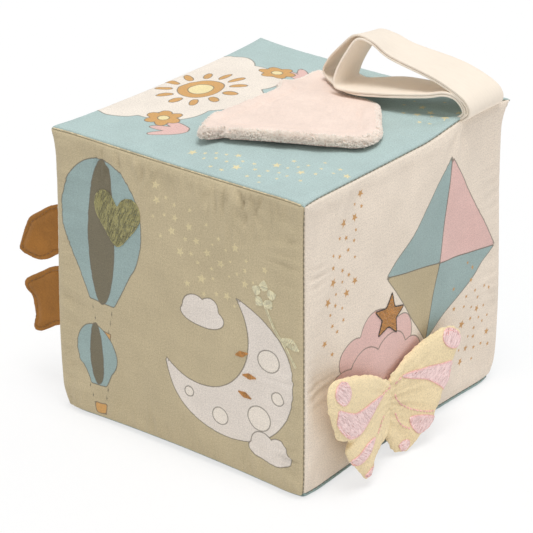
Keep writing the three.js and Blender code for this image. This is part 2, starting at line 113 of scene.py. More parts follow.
class BlockSizes(PropertyGroup):
    width: size("Width", "From the left side to the right side", 0.148)
    depth: size("Depth", "From the front side to the back side", 0.154)
    height: size("Height", "From the base to the top seams", 0.147)
    edge_radius: size("Edge radius", "Rounding along the seams", 0.0025)
    face_crown: size("Face crown", "How far the filling swells a side", 0.003)
    base_crown: size("Base crown", "How far the filling swells the base", 0.0005)
    edge_draw: size("Edge draw", "How far a seam is drawn in at its middle", 0.0014)
    corner_reach: size("Corner reach", "How far the upper corners stand out", 0.0015)
    tape_corner_reach: size("Tape corner reach", "How far the corner beside the tape stands out", 0.0035)
    lower_corner_draw: size("Lower corner draw", "How far the lower corners are drawn in", 0.0025)
    base_wrap: size("Base wrap", "How far the base cloth comes up the right side", 0.0022)
    cloth: size("Cloth thickness", "Thickness of a cover panel", 0.0007)
    cell: size("Cell", "Distance between the points of a panel", 0.0013)
    seam_depth: size("Seam depth", "How deep the panels sink at a seam", 0.0009)
    seam_width: size("Seam width", "Half the width of the dip at a seam", 0.0010)
    shoulder: size("Shoulder", "How far the cloth stands up beside a seam", 0.0004)
    pucker: size("Pucker", "Height of the gathers along a seam", 0.0010)
    pucker_pitch: size("Pucker pitch", "From one gather to the next", 0.0044)
    pucker_reach: size("Pucker reach", "How far the gathers run into a panel", 0.013)
    unevenness: size("Unevenness", "Height of the slow waves of a panel", 0.0007)
    crease: size("Crease", "Height of the short waves of a panel", 0.00016)
    crease_pitch: size("Crease pitch", "From one short wave to the next", 0.019)
    tape_crease: size("Tape crease", "Height of the creases that the tape pulls", 0.0009)
    tape_crease_reach: size("Tape crease reach", "How far those creases run", 0.022)
    stitch: size("Seam stitch", "Length of one stitch of the seams", 0.0017)
    stitch_gap: size("Seam stitch gap", "Gap between two stitches of the seams", 0.0011)
    thread: size("Seam thread", "Radius of the seam thread", 0.0002)
    # Partly a painted highlight: the wide pale thread along the top of the front also stands for the olive
    # cloth's lit edge there
    front_thread_and_lit_edge: size("Front seam thread", "Radius of the thread along the top of the front", 0.00034)


class TapeSizes(PropertyGroup):
    width: size("Width", "Width of the tape", 0.028)
    thickness: size("Thickness", "Thickness of one layer", 0.00105)
    layer_gap: size("Layer gap", "Gap between the two layers", 0.00015)
    seam_near: size("Seam near end", "Where the tape's near edge enters the seam", 0.043)
    reach: size("Reach", "How far the loop reaches over the top", 0.060)
    rise: size("Rise", "How high the loop stands over its seam", 0.031)
    drift: size("Drift", "How far the loop drifts to the front", 0.024)
    tilt: size("Tilt", "How far the far edge lies below the near edge", 0.006)
    lean: size("Lean", "How far the far edge leans back", 0.007)
    pull: size("Pull", "How far the tape pulls its seam up", 0.0036)
    pull_spread: size("Pull spread", "How far the pull is felt along the seam", 0.044)
    foot_reach: size("Foot reach", "How far the outer layer's foot stands out", 0.018)
    foot_back: size("Foot back", "How far the outer layer's foot stands back", 0.017)
    foot_drop: size("Foot drop", "How far the outer layer's foot lies lower", 0.0025)
    buried: size("Buried end", "How far the ends reach into the seam", 0.007)


class FlapSizes(PropertyGroup):
    hinge_y: size("Hinge", "Where the flap's sewn strip starts", 0.016)
    eave_x: size("Eave", "Where the flap's left edge lies", -0.013)
    centre_y: size("Centre", "The flap's middle line along its length", -0.007)
    length: size("Length", "From the eave to the roof's top", 0.073)
    half_width: size("Half width", "Half the width of the eave", 0.051)
    turn: angle("Turn", "Turn of the flap on the top", 4)
    front_lift: size("Front lift", "How far the flap's front edge stands off the top", 0.0016)
    blend_half: size("Bend", "Half the length of plush that bends at the hinge", 0.004)
    voxel: size("Voxel", "Distance between the plush's points", 0.0008)
    nap: size("Nap", "Height of the uneven nap on the flap's faces", 0.00022)
    nap_pitch: size("Nap pitch", "From one rise of the nap to the next", 0.0042)
    rim_pile: size("Rim pile", "Length of the pile round the flap's edge", 0.0019)
    rim_width: size("Rim width", "How far the long pile reaches in from the edge", 0.0030)
    tuft: size("Tuft", "Radius of a tuft at its root", 0.0003)
    swell: size("Swell", "How far the plush swells between its seams", 0.0010)
    stitch_inset: size("Stitch inset", "From the flap's edge to its sewn line", 0.010)
    stitch_dip: size("Stitch dip", "How deep the sewn line sinks", 0.0007)
    lining_gap: size("Lining gap", "Gap under the plush and under the lining", 0.0003)
    lining: size("Lining", "Thickness of the lining", 0.0008)
    lining_inset: size("Lining inset", "From the plush's edge to the lining's edge", 0.0016)
    rim_tufts: IntProperty(name="Rim tufts", description="Tufts round the edge", default=11000, min=0)


class ButterflySizes(PropertyGroup):
    centre_y: size("Centre", "The butterfly's middle along the right side", -0.0195)
    body_width: size("Body width", "Width of the gathered middle", 0.0044)
    root_gap: size("Root gap", "From the gathered middle to a wing", 0.0008)
    wing_low: size("Wing low", "Height of the wings' lower end", 0.004)
    wing_height: size("Wing height", "Height of the wings", 0.057)
    left_span: size("Left span", "Reach of the left wing", 0.051)
    right_span: size("Right span", "Reach of the right wing", 0.049)
    voxel: size("Voxel", "Distance between the wings' points", 0.0009)
    cap: size("Puff cap", "The most that the filling moves a point", 0.0020)
    gather: size("Gather", "Height of the gathers at the wings' roots", 0.0008)
    gather_reach: size("Gather reach", "How far the gathers run into a wing", 0.013)
    edge_pucker: size("Edge pucker", "Height of the gathers along a wing's edge", 0.0003)
    edge_reach: size("Edge reach", "How far the gathers run in from a wing's edge", 0.003)
    closing: size("Closing", "Length of a wing's root that closes over the middle", 0.013)
    aside: size("Aside", "How far the wings meet to the left of the middle", 0.0044)
    draw_in: size("Draw in", "How far the right wing's upper tip is drawn in", 0.0024)
    draw_down: size("Draw down", "How far the right wing's upper edge is drawn down", 0.0018)
    closing_lift: size("Closing lift", "How far a wing's root stands out over the middle", 0.0022)
    overlap: size("Overlap", "How far the left wing laps over the right one", 0.0014)
    thread: size("Thread", "Radius of the cover's embroidery thread", 0.0003)
    wing_thread: size("Wing thread", "Radius of the wings' embroidery thread", 0.00045)
    border_thread: size("Border thread", "Radius of the thread round the wings' embroidery", 0.00042)
    stitch: size("Stitch", "Length of one embroidery stitch", 0.0032)
    stitch_pitch: size("Stitch pitch", "Distance between rows of embroidery", 0.00055)
    wing_pitch: size("Wing pitch", "Distance between rows of embroidery on a wing", 0.00062)
    stray: size("Stray", "How far the ends of the wings' stitches stray", 0.00022)


class LeafSizes(PropertyGroup):
    voxel: size("Voxel", "Distance between a leaf's points", 0.0006)
    swell: size("Swell", "How far a leaf swells inside its sewn line", 0.0004)
    stitch_inset: size("Stitch inset", "From a leaf's edge to its sewn line", 0.0026)
    stitch_dip: size("Stitch dip", "How deep the sewn line sinks", 0.0003)
    stitch: size("Stitch", "Length of one stitch of the sewn line", 0.0019)
    stitch_gap: size("Stitch gap", "Gap between two stitches", 0.0008)
    thread: size("Thread", "Radius of the thread", 0.00018)


class BlockColours(PropertyGroup):
    blue: colour("Blue", "Cotton of the top", (0.715, 0.795, 0.785))
    olive: colour("Olive", "Cotton of the front", (0.79, 0.73, 0.60))
    cream: colour("Cream", "Cotton of the right side", (0.94, 0.885, 0.82))
    pale: colour("Pale cream", "Cotton of the left side", (0.95, 0.91, 0.84))
    teal: colour("Teal", "Cotton of the base and the back", (0.62, 0.71, 0.70))
    print_blue: colour("Print blue", "Blue shapes of the print", (0.63, 0.71, 0.70))
    print_olive: colour("Print olive", "Olive shapes of the print", (0.76, 0.70, 0.57))
    print_dark: colour("Print dark", "Dark shapes of the print", (0.49, 0.46, 0.38))
    print_pink: colour("Print pink", "Pink shapes of the print", (0.91, 0.76, 0.73))
    print_white: colour("Print white", "Off-white shapes of the print", (0.93, 0.89, 0.85))
    print_cream: colour("Print cream", "Cream shapes of the print", (0.96, 0.92, 0.87))
    print_ochre: colour("Print ochre", "Ochre shapes of the print", (0.85, 0.66, 0.42))
    print_yellow: colour("Print yellow", "Yellow shapes of the print", (0.96, 0.90, 0.70))
    outline: colour("Outline", "Thin line round the printed shapes", (0.46, 0.43, 0.38))
    pale_star: colour("Pale stars", "Small stars of the top and the front", (0.93, 0.87, 0.68))
    ochre_star: colour("Ochre stars", "Small stars of the right side", (0.80, 0.60, 0.36))
    plush: colour("Plush", "Pile of the flap", (0.965, 0.885, 0.835))
    pile: colour("Pile", "Long pile round the flap's edge", (1.0, 0.95, 0.91))
    lining: colour("Lining", "Lining of the flap", (0.94, 0.83, 0.79))
    tape: colour("Tape", "Cotton of the loop", (0.985, 0.935, 0.87))
    yellow: colour("Yellow", "Cotton of the butterfly", (0.965, 0.885, 0.72))
    velvet: colour("Velvet", "Pile of the leaves", (0.67, 0.45, 0.19))
    pink_thread: colour("Pink thread", "Embroidery of the butterfly", (1.0, 0.86, 0.85))
    rose_thread: colour("Rose thread", "Borders of the embroidery", (0.975, 0.76, 0.745))
    # Partly painted shade: this rose is darker than the thread and stands for the shade in the gaps between
    # the stitches
    rose_backing_and_gap_shade: colour("Rose ground", "Backing under the embroidery", (0.97, 0.70, 0.67))
    green_thread: colour("Green thread", "Embroidery of the front", (0.67, 0.64, 0.42))
    ochre_thread: colour("Ochre thread", "Embroidery of both printed sides", (0.79, 0.55, 0.27))
    dark_thread: colour("Dark thread", "Borders of the ochre embroidery", (0.25, 0.19, 0.14))
    straw_thread: colour("Straw thread", "Sprig of the front", (0.95, 0.92, 0.78))
    # Partly a painted highlight: this pale thread also stands for the lit edge of the olive cloth along the
    # top of the front
    seam_thread_and_lit_edge: colour("Seam thread", "Thread along the top of the front", (0.90, 0.83, 0.68))
    dark_seam_thread: colour("Dark seam thread", "Thread of the other seams", (0.55, 0.53, 0.46))
    foam: colour("Foam", "Foam inside the block", (0.91, 0.89, 0.79))
    shell: colour("Rattle shell", "Plastic of the rattle", (0.95, 0.95, 0.94))
    bead: colour("Beads", "Plastic of the beads", (0.85, 0.76, 0.48))


class StageSizes(PropertyGroup):
    turn: angle("Turn", "Way round to the camera", 38.816)
    lift: angle("Lift", "Camera's angle over the floor", 25.083)
    roll: angle("Roll", "Camera's own roll", -0.323)
    distance: size("Distance", "From the camera to the block's middle", 1.1497)
    aside: size("Aside", "Block's middle to the left of the view's middle", -0.00693)
    above: size("Above", "Block's middle below the view's middle", -0.00484)
    lens: amount("Lens", "Focal length in millimetres", 161.95)
    sensor: amount("Sensor", "Width of the camera's sensor in millimetres", 36)
    floor: size("Floor", "Width of the floor", 6.0)
    key_softness: angle("Key softness", "Width of the key light as it is seen", 28)
    key_strength: amount("Key strength", "Strength of the key light", 1.8)
    sky: amount("Sky", "Strength of the soft light all round", 0.52)


GROUPS = {
    "block_sizes": BlockSizes,
    "tape_sizes": TapeSizes,
    "flap_sizes": FlapSizes,
    "butterfly_sizes": ButterflySizes,
    "leaf_sizes": LeafSizes,
    "block_colours": BlockColours,
    "stage_sizes": StageSizes,
}

# Way to the right and way up of each panel, seen from outside
PANEL_WAYS = {
    "top_panel": ((1, 0, 0), (0, 1, 0)),
    "bottom_panel": ((1, 0, 0), (0, -1, 0)),
    "front_panel": ((1, 0, 0), (0, 0, 1)),
    "right_panel": ((0, 1, 0), (0, 0, 1)),
    "back_panel": ((-1, 0, 0), (0, 0, 1)),
    "left_panel": ((0, -1, 0), (0, 0, 1)),
}

# How strong the gathers are at a panel's right, left, upper and lower seam
PUCKER_SHARES = {
    "top_panel": (0.4, 0.3, 0.3, 0.6),
    "bottom_panel": (0.2, 0.2, 0.2, 0.2),
    "front_panel": (0.7, 0.7, 1.3, 0.7),
    "right_panel": (0.4, 0.4, 0.5, 0.4),
    "back_panel": (0.6, 0.6, 0.8, 0.6),
    "left_panel": (0.6, 0.6, 0.8, 0.6),
}

EDGE_DRAW_POWER = 4
# A corner's own form begins at this share of each half side
CORNER_START_SHARE = 0.8
UPRIGHT_DRAW_SHARE = -0.4
UPRIGHT_SAG_SHARE = 1.2
# Rows of a panel beside its seams, as shares of the edge zone, and that zone in edge radii
EDGE_ROW_SHARES = [0, 0.05, 0.1, 0.16, 0.23, 0.31, 0.41, 0.53, 0.68, 0.84, 1]
EDGE_ZONE_SHARE = 2.2
SEAM_GAP_SHARE = 0.06


# Selecting, copying and shaping

# Lengths of the waves that are added up, as shares of the wavelength asked for
WAVE_LENGTH_SHARES = (0.6, 1.6)
WAVE_COUNT = 7
# Stands in for nought where something is divided by it
TINY = 1e-6


def deselect():
    for each in bpy.context.selected_objects:
        each.select_set(False)


def pick(*objects):
    """Selects these objects alone and makes the first one active."""
    deselect()
    for each in objects:
        each.select_set(True)
    bpy.context.view_layer.objects.active = objects[0]


def place_new(name, data):
    """A new object, placed in the scene."""
    placed = bpy.data.objects.new(name, data)
    bpy.context.scene.collection.objects.link(placed)
    return placed


def new_grid(name, columns, rows):
    """A flat grid from -1 to 1 each way, as the start of a sheet."""
    deselect()
    bpy.ops.mesh.primitive_grid_add(x_subdivisions=columns, y_subdivisions=rows, size=2)
    piece = bpy.context.object
    piece.name = piece.data.name = name
    return piece


def points_of(mesh):
    places = np.empty(len(mesh.vertices) * 3)
    mesh.vertices.foreach_get("co", places)
    return places.reshape(-1, 3)


def set_points(mesh, places):
    mesh.vertices.foreach_set("co", np.asarray(places, dtype=np.float32).ravel())
    mesh.update()


def normals_of(mesh):
    normals = np.empty(len(mesh.vertices) * 3)
    mesh.vertex_normals.foreach_get("vector", normals)
    return normals.reshape(-1, 3)


def corner_points(mesh):
    """The point that each corner of each face uses."""
    corners = np.empty(len(mesh.loops), dtype=int)
    mesh.loops.foreach_get("vertex_index", corners)
    return corners


def lay_map(mesh, name, places):
    """A UV map that holds a flat place for each corner of each face."""
    mesh.uv_layers.new(name=name).data.foreach_set("uv", places.astype(np.float32).ravel())


def paint(mesh, name, values):
    """Stores a number at each point, under the name by which a material reads it."""
    mesh.attributes.new(name, "FLOAT", "POINT").data.foreach_set("value", values.astype(np.float32))


def unit_rows(ways):
    return ways / np.linalg.norm(ways, axis=1, keepdims=True)


def middle_of(places):
    return (places.min(axis=0) + places.max(axis=0)) / 2


def eased(value, low, high):
    """Nought below low, one above high and a soft way between them."""
    part = np.clip((value - low) / (high - low), 0, 1)
    return part * part * (3 - 2 * part)


def copy_of(name, *nodes):
    """A piece that starts as a copy of CAD nodes, with the points that meet merged."""
    copies = [place_new(name, frame["nodes"][node].data.copy()) for node in nodes]
    pick(*copies)
    if len(copies) > 1:
        bpy.ops.object.join()
    bpy.ops.object.mode_set(mode="EDIT")
    bpy.ops.mesh.select_all(action="SELECT")
    bpy.ops.mesh.remove_doubles()
    bpy.ops.object.mode_set(mode="OBJECT")
    piece = copies[0]
    piece.name = piece.data.name = name
    piece.data.materials.clear()
    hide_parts(*nodes)
    return piece


def modify(piece, label, kind, **settings):
    """Adds a modifier with these settings and applies it."""
    modifier = piece.modifiers.new(label, kind)
    for key, value in settings.items():
        setattr(modifier, key, value)
    pick(piece)
    bpy.ops.object.modifier_apply(modifier=modifier.name)


def remesh(piece, voxel, smoothing):
    """Gives a piece even faces and rounds its corners."""
    modify(piece, "Even faces", "REMESH", mode="VOXEL", voxel_size=voxel)
    modify(piece, "Soft corners", "SMOOTH", factor=0.5, iterations=smoothing)
    bpy.ops.object.shade_smooth()


def waves(first, second, wavelength, seed, count=WAVE_COUNT):
    """Slow even waves over a plane, between about -1 and 1: sums of sines in random directions."""
    dice = random.Random(seed)
    total = np.zeros(len(first))
    for _ in range(count):
        way = dice.uniform(0, math.tau)
        turns = math.tau / (wavelength * dice.uniform(*WAVE_LENGTH_SHARES))
        phase = dice.uniform(0, math.tau)
        total += np.sin((first * math.cos(way) + second * math.sin(way)) * turns + phase)
    return total / math.sqrt(count)


def repeated(name, model, origins, axes):
    """One mesh of many copies of a small model, which goes. axes holds each copy's three axes in rows."""
    places = points_of(model.data)
    count = len(origins)
    put = origins[:, None, :] + np.einsum("kc,nca->nka", places, axes)
    sides = np.array([len(face.vertices) for face in model.data.polygons])
    corners = np.concatenate([list(face.vertices) for face in model.data.polygons])
    corners = corners[None, :] + len(places) * np.arange(count)[:, None]
    starts = np.concatenate([[0], np.cumsum(np.tile(sides, count))[:-1]])
    bpy.data.objects.remove(model)
    mesh = bpy.data.meshes.new(name)
    mesh.vertices.add(count * len(places))
    mesh.loops.add(corners.size)
    mesh.polygons.add(len(starts))
    mesh.loops.foreach_set("vertex_index", corners.ravel())
    mesh.polygons.foreach_set("loop_start", starts)
    set_points(mesh, put)
    mesh.update(calc_edges=True)
    paint(mesh, "tone", np.repeat(np.random.default_rng(SEED).random(count), len(places)))
    piece = place_new(name, mesh)
    pick(piece)
    bpy.ops.object.shade_smooth()
    return piece


def give(piece, finish, body):
    """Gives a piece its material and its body."""
    piece.data.materials.clear()
    piece.data.materials.append(finish)
    if body:
        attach(piece, body)
    return piece


# The stuffed block's surface

def halves(sizes):
    return np.array([sizes.width, sizes.depth, sizes.height]) / 2


def cushion(unit):
    """Places and outward ways on the stuffed block, for shares of half its sides."""
    sizes = bpy.context.scene.block_sizes
    half = halves(sizes)
    flat = unit * half
    held = np.clip(flat, sizes.edge_radius - half, half - sizes.edge_radius)
    away = flat - held
    outward = unit_rows(away)
    places = held + outward * sizes.edge_radius
    for axis in range(3):
        own = unit[:, axis]
        others = [other for other in range(3) if other != axis]
        crown = np.where(own < 0, sizes.base_crown, sizes.face_crown) if axis == 2 else sizes.face_crown
        move = crown * np.prod(1 - unit[:, others] ** 2, axis=1)
        for other in others:
            along = unit[:, 3 - axis - other]
            upright = axis != 2 and other != 2
            sag = UPRIGHT_DRAW_SHARE + UPRIGHT_SAG_SHARE * along if upright else 1
            near = np.abs(own * unit[:, other]) ** EDGE_DRAW_POWER
            move = move - sizes.edge_draw * sag * near * (1 - along**2)
        places[:, axis] += np.sign(own) * move
    places[:, :2] += np.sign(unit[:, :2]) * corner_stand(unit)[:, None]
    places[:, 2] += half[2] + tape_pull(unit, half)
    return places, outward


def corner_stand(unit):
    """The upper corners stand out, the one beside the tape most, and the lower ones are drawn in."""
    sizes = bpy.context.scene.block_sizes
    by_tape = (unit[:, 0] > 0) & (unit[:, 1] > 0)
    upper = np.where(by_tape, sizes.tape_corner_reach, sizes.corner_reach)
    reach = np.where(unit[:, 2] > 0, upper, -sizes.lower_corner_draw)
    near = np.maximum(0, np.abs(unit) - CORNER_START_SHARE) / (1 - CORNER_START_SHARE)
    return reach * np.prod(near**2, axis=1)


def tape_pull(unit, half):
    """The tape pulls up the seam that it is sewn in."""
    tape = bpy.context.scene.tape_sizes
    away = (unit[:, 1] * half[1] - tape.seam_near - tape.width / 2) / tape.pull_spread
    near = np.maximum(0, 1 - away**2) ** 2
    corner = np.maximum(0, unit[:, 0]) * np.maximum(0, unit[:, 2])
    return tape.pull * near * corner**EDGE_DRAW_POWER


def top_height(x, y):
    half = halves(bpy.context.scene.block_sizes)
    unit = np.stack([x / half[0], y / half[1], np.ones_like(x)], axis=1)
    return cushion(unit)[0][:, 2]


def panel_rows(low, high):
    """Places of a panel's rows between two seams, closer together beside the seams."""
    sizes = bpy.context.scene.block_sizes
    gap = sizes.edge_radius * SEAM_GAP_SHARE
    rows = sizes.edge_radius * EDGE_ZONE_SHARE * np.array(EDGE_ROW_SHARES)
    first, last = low + gap + rows, high - gap - rows
    count = round((last[-1] - first[-1]) / sizes.cell)
    middle = np.linspace(first[-1], last[-1], count + 1)
    return np.concatenate([first, middle[1:-1], last[::-1]])


def panel_reach(name):
    """Half a panel's sides, and its left, right, lower and upper end. The base cloth comes up the side."""
    sizes = bpy.context.scene.block_sizes
    right, up = (np.abs(np.array(way)) for way in PANEL_WAYS[name])
    wide, tall = right @ halves(sizes), up @ halves(sizes)
    ends = [-wide, wide, -tall, tall]
    if name == "bottom_panel":
        ends[1] += sizes.base_wrap
    if name == "right_panel":
        ends[2] += sizes.base_wrap
    return wide, tall, ends


# Flat shapes of the prints: distances from places on a panel to a shape's edge, less than zero inside

# Nearer to an oval's middle than this, it counts as its middle
OVAL_MIDDLE_SHARE = 0.05


def disc(places, x, y, radius):
    return np.hypot(places[:, 0] - x, places[:, 1] - y) - radius


def oval(places, x, y, across, up, turn=0):
    way = math.radians(turn)
    dx, dy = places[:, 0] - x, places[:, 1] - y
    first = dx * math.cos(way) + dy * math.sin(way)
    second = dy * math.cos(way) - dx * math.sin(way)
    reach = np.hypot(first / across, second / up)
    slope = np.hypot(first / across**2, second / up**2) / np.maximum(reach, TINY)
    return np.where(reach < OVAL_MIDDLE_SHARE, -min(across, up), (reach - 1) / np.maximum(slope, TINY))


def petals(places, x, y, count, ring, across, up, turn=0):
    """A ring of ovals that point outwards."""
    distances = []
    for index in range(count):
        way = turn + 360 * index / count
        at_x = x + ring * math.cos(math.radians(way))
        at_y = y + ring * math.sin(math.radians(way))
        distances.append(oval(places, at_x, at_y, up, across, way))
    return np.minimum.reduce(distances)


def line_gap(places, start, end):
    """Distances from places to the straight line between two points."""
    edge = end - start
    along = np.clip((places - start) @ edge / (edge @ edge), 0, 1)
    return np.linalg.norm(places - start - along[:, None] * edge, axis=1)


def polygon(places, *corners):
    corners = np.array(corners, dtype=float)
    inside = np.zeros(len(places), dtype=bool)
    nearest = np.full(len(places), np.inf)
    for start, end in zip(corners, np.roll(corners, -1, axis=0)):
        nearest = np.minimum(nearest, line_gap(places, start, end))
        crosses = (start[1] > places[:, 1]) != (end[1] > places[:, 1])
        run, rise = end - start
        inside ^= crosses & (places[:, 0] < start[0] + (places[:, 1] - start[1]) * run / (rise or 1))
    return np.where(inside, -nearest, nearest)


def band(places, half_width, *path):
    path = np.array(path, dtype=float)
    return np.minimum.reduce([line_gap(places, *ends) for ends in zip(path, path[1:])]) - half_width


SHAPES = {"disc": disc, "oval": oval, "petals": petals, "polygon": polygon, "band": band}

# The prints, in shares of half the block's width from the middle of a panel. A layer is a name, a colour,
# whether it has an outline, the shapes that it adds and the shapes that are cut out of it. A panel
# without a row is plain
PRINT_SHARES = {
    "front_panel": [
        ("ropes", "outline", False, [
            ("band", 0.004, (-0.72, 0.02), (-0.64, -0.31)), ("band", 0.004, (-0.46, 0.02), (-0.54, -0.31)),
            ("band", 0.004, (-0.74, -0.70), (-0.70, -0.86)), ("band", 0.004, (-0.58, -0.70), (-0.62, -0.86)),
        ], []),
        ("baskets", "print_ochre", True, [
            ("polygon", (-0.66, -0.30), (-0.52, -0.30), (-0.54, -0.42), (-0.64, -0.42)),
            ("polygon", (-0.71, -0.86), (-0.61, -0.86), (-0.625, -0.94), (-0.695, -0.94)),
        ], []),
        ("balloons", "print_blue", True, [
            ("oval", -0.59, 0.45, 0.345, 0.42),
            ("polygon", (-0.87, 0.22), (-0.31, 0.22), (-0.48, -0.10), (-0.70, -0.10)),
            ("oval", -0.66, -0.47, 0.17, 0.19),
            ("polygon", (-0.80, -0.56), (-0.52, -0.56), (-0.60, -0.72), (-0.72, -0.72)),
        ], []),
        ("gores", "print_dark", True, [
            ("oval", -0.59, 0.38, 0.115, 0.49), ("oval", -0.66, -0.49, 0.055, 0.225),
        ], []),
        ("moon", "print_white", True, [("disc", 0.42, -0.24, 0.50)], [("disc", 0.20, -0.02, 0.40)]),
        ("craters", "print_cream", True, [
            ("disc", 0.74, -0.10, 0.075), ("disc", 0.80, -0.34, 0.045), ("disc", 0.66, -0.52, 0.085),
            ("disc", 0.36, -0.60, 0.060), ("disc", 0.12, -0.50, 0.035),
        ], []),
        ("clouds", "print_white", True, [
            ("oval", 0.24, 0.06, 0.17, 0.075), ("disc", 0.18, 0.10, 0.09), ("disc", 0.29, 0.12, 0.07),
            ("oval", 0.74, -0.74, 0.17, 0.075), ("disc", 0.68, -0.70, 0.09), ("disc", 0.80, -0.69, 0.07),
        ], []),
    ],
    "right_panel": [
        ("tail", "print_ochre", False, [
            ("band", 0.012, (0.17, -0.36), (0.27, -0.43), (0.36, -0.41), (0.45, -0.49), (0.55, -0.47)),
        ], []),
        ("kite", "print_blue", True, [
            ("polygon", (0.46, 0.80), (-0.26, 0.24), (0.30, 0.14)),
            ("polygon", (0.17, -0.36), (0.95, 0.03), (0.30, 0.14)),
        ], []),
        ("kite_olive", "print_olive", True, [
            ("polygon", (0.17, -0.36), (-0.26, 0.24), (0.30, 0.14)),
        ], []),
        ("kite_pink", "print_pink", True, [
            ("polygon", (0.46, 0.80), (0.95, 0.03), (0.30, 0.14)),
            ("polygon", (0.27, -0.43), (0.33, -0.36), (0.35, -0.45)),
            ("polygon", (0.27, -0.43), (0.22, -0.50), (0.29, -0.52)),
            ("polygon", (0.45, -0.49), (0.50, -0.41), (0.53, -0.50)),
            ("polygon", (0.45, -0.49), (0.40, -0.57), (0.47, -0.58)),
        ], []),
        ("far_cloud", "print_pink", True, [
            ("disc", -0.58, -0.18, 0.13), ("disc", -0.36, -0.10, 0.16), ("disc", -0.13, -0.19, 0.14),
        ], []),
        ("cloud", "print_pink", True, [
            ("disc", -0.66, -0.38, 0.14), ("disc", -0.46, -0.31, 0.15), ("disc", -0.22, -0.30, 0.16),
            ("disc", -0.02, -0.38, 0.13), ("oval", -0.33, -0.48, 0.44, 0.20),
        ], []),
    ],
    "top_panel": [
        ("leaves", "print_pink", True, [
            ("oval", -0.36, -0.66, 0.13, 0.035, 200), ("oval", -0.33, -0.71, 0.13, 0.035, 225),
            ("oval", -0.37, -0.59, 0.13, 0.035, 172), ("oval", -0.33, 0.56, 0.13, 0.035, 160),
            ("oval", -0.29, 0.61, 0.13, 0.035, 135),
        ], []),
        ("cloud", "print_cream", True, [
            ("disc", -0.86, -0.42, 0.26), ("disc", -0.60, -0.34, 0.27), ("disc", -0.42, -0.06, 0.26),
            ("disc", -0.55, 0.26, 0.28), ("disc", -0.84, 0.40, 0.24), ("oval", -0.84, 0.0, 0.30, 0.46),
        ], []),
        ("rays", "print_ochre", True, [("petals", -0.66, 0.0, 12, 0.25, 0.028, 0.06)], []),
        ("sun", "print_ochre", True, [("disc", -0.66, 0.0, 0.155)], []),
        ("sun_middle", "print_yellow", True, [("disc", -0.66, 0.0, 0.085)], []),
        ("flowers", "print_ochre", True, [
            ("petals", -0.50, -0.55, 6, 0.07, 0.042, 0.055),
            ("petals", -0.44, 0.52, 6, 0.07, 0.042, 0.055, 20),
        ], []),
        ("flower_middles", "print_yellow", True, [
            ("disc", -0.50, -0.55, 0.038), ("disc", -0.44, 0.52, 0.038),
        ], []),
    ],
}

# Patches of small stars: the middle line of a patch, half its width, the number of stars and a seed
STAR_SHARES = {
    "top_panel": [
        (((0.12, -0.84), (0.46, -0.84), (0.86, -0.55)), 0.10, 34, 3),
        (((0.10, 0.86), (0.50, 0.74), (0.84, 0.48)), 0.13, 26, 5),
    ],
    "front_panel": [
        (((-0.06, 0.70), (0.24, 0.48), (0.62, 0.42)), 0.14, 36, 8),
        (((0.10, 0.30), (0.45, 0.22)), 0.06, 5, 12),
    ],
    "right_panel": [
        (((-0.55, 0.78), (-0.68, 0.40), (-0.78, 0.06)), 0.11, 30, 21),
        (((0.62, -0.12), (0.78, -0.38), (0.72, -0.62)), 0.14, 30, 34),
    ],
    "back_panel": [(((-0.6, 0.6), (0.0, 0.1), (0.6, -0.5)), 0.3, 34, 41)],
}
# Radii of small and large stars, how both vary, how many are large and the room between two
SMALL_STAR_SHARE = 0.013
LARGE_STAR_SHARE = 0.034
SMALL_STAR_SPREAD_SHARES = (1, 1.5)
LARGE_STAR_SPREAD_SHARES = (0.75, 1)
LARGE_STARS_SHARE = 0.4
STAR_ROOM_SHARE = 0.03
TRIES_PER_STAR = 40
# Inner corner of a star, as a share of its radius
STAR_WAIST_SHARE = 0.45
FAR_FROM_STARS = 4.0

# How much of the cloth a star's ink hides
STAR_INK_SHARES = {"top_panel": 0.9, "front_panel": 0.55, "right_panel": 0.95, "back_panel": 0.7}

PANEL_LOOKS = {
    "top_panel": ("blue", "pale_star", "blue_cotton"),
    "front_panel": ("olive", "pale_star", "olive_cotton"),
    "right_panel": ("cream", "ochre_star", "cream_cotton"),
    "left_panel": ("pale", "ochre_star", "pale_cotton"),
    "back_panel": ("teal", "pale_star", "teal_cotton"),
    "bottom_panel": ("teal", "pale_star", "teal_cotton"),
}


# Materials. Scales are waves to a metre, bumps are metres

THREADS_PER_METRE = 2200
FINE_NOISE_SCALE = 900
GRAIN_NOISE_SCALE = 1500
SLUB_NOISE_SCALE = 1000
MOTTLE_NOISE_SCALE = 45
WEAVE_BUMP = 0.00006
FIBRE_BUMP = 0.00012
# Width of a slub and of a fleck of the tape, as shares of their lengths
SLUB_STRETCH_SHARE = 0.08
FLECK_STRETCH_SHARE = 0.2
# How much slubs, specks and the weave weigh beside the mottling
SLUB_WEIGHT = 0.4
SPECK_WEIGHT = 3.2
WEAVE_WEIGHT = 0.5
COTTON_ROUGHNESS = 0.88
COTTON_SHEEN = 0.12
CLOTH_SPECULAR = 0.25
THREAD_SPECULAR = 0.5
# Soft edge of a printed shape, half its outline's width and the outline's strength
PRINT_EDGE_SHARE = 0.0022
OUTLINE_HALF_SHARE = 0.0036
OUTLINE_INK_SHARE = 0.8
STAR_EDGE_SHARE = 0.08


def linear(written, share=1):
    """A written colour, made lighter or darker by a share, in the light that Blender counts in."""
    values = [min(1.0, share * value) for value in written]
    return [c / 12.92 if c <= 0.04045 else ((c + 0.055) / 1.055) ** 2.4 for c in values] + [1.0]


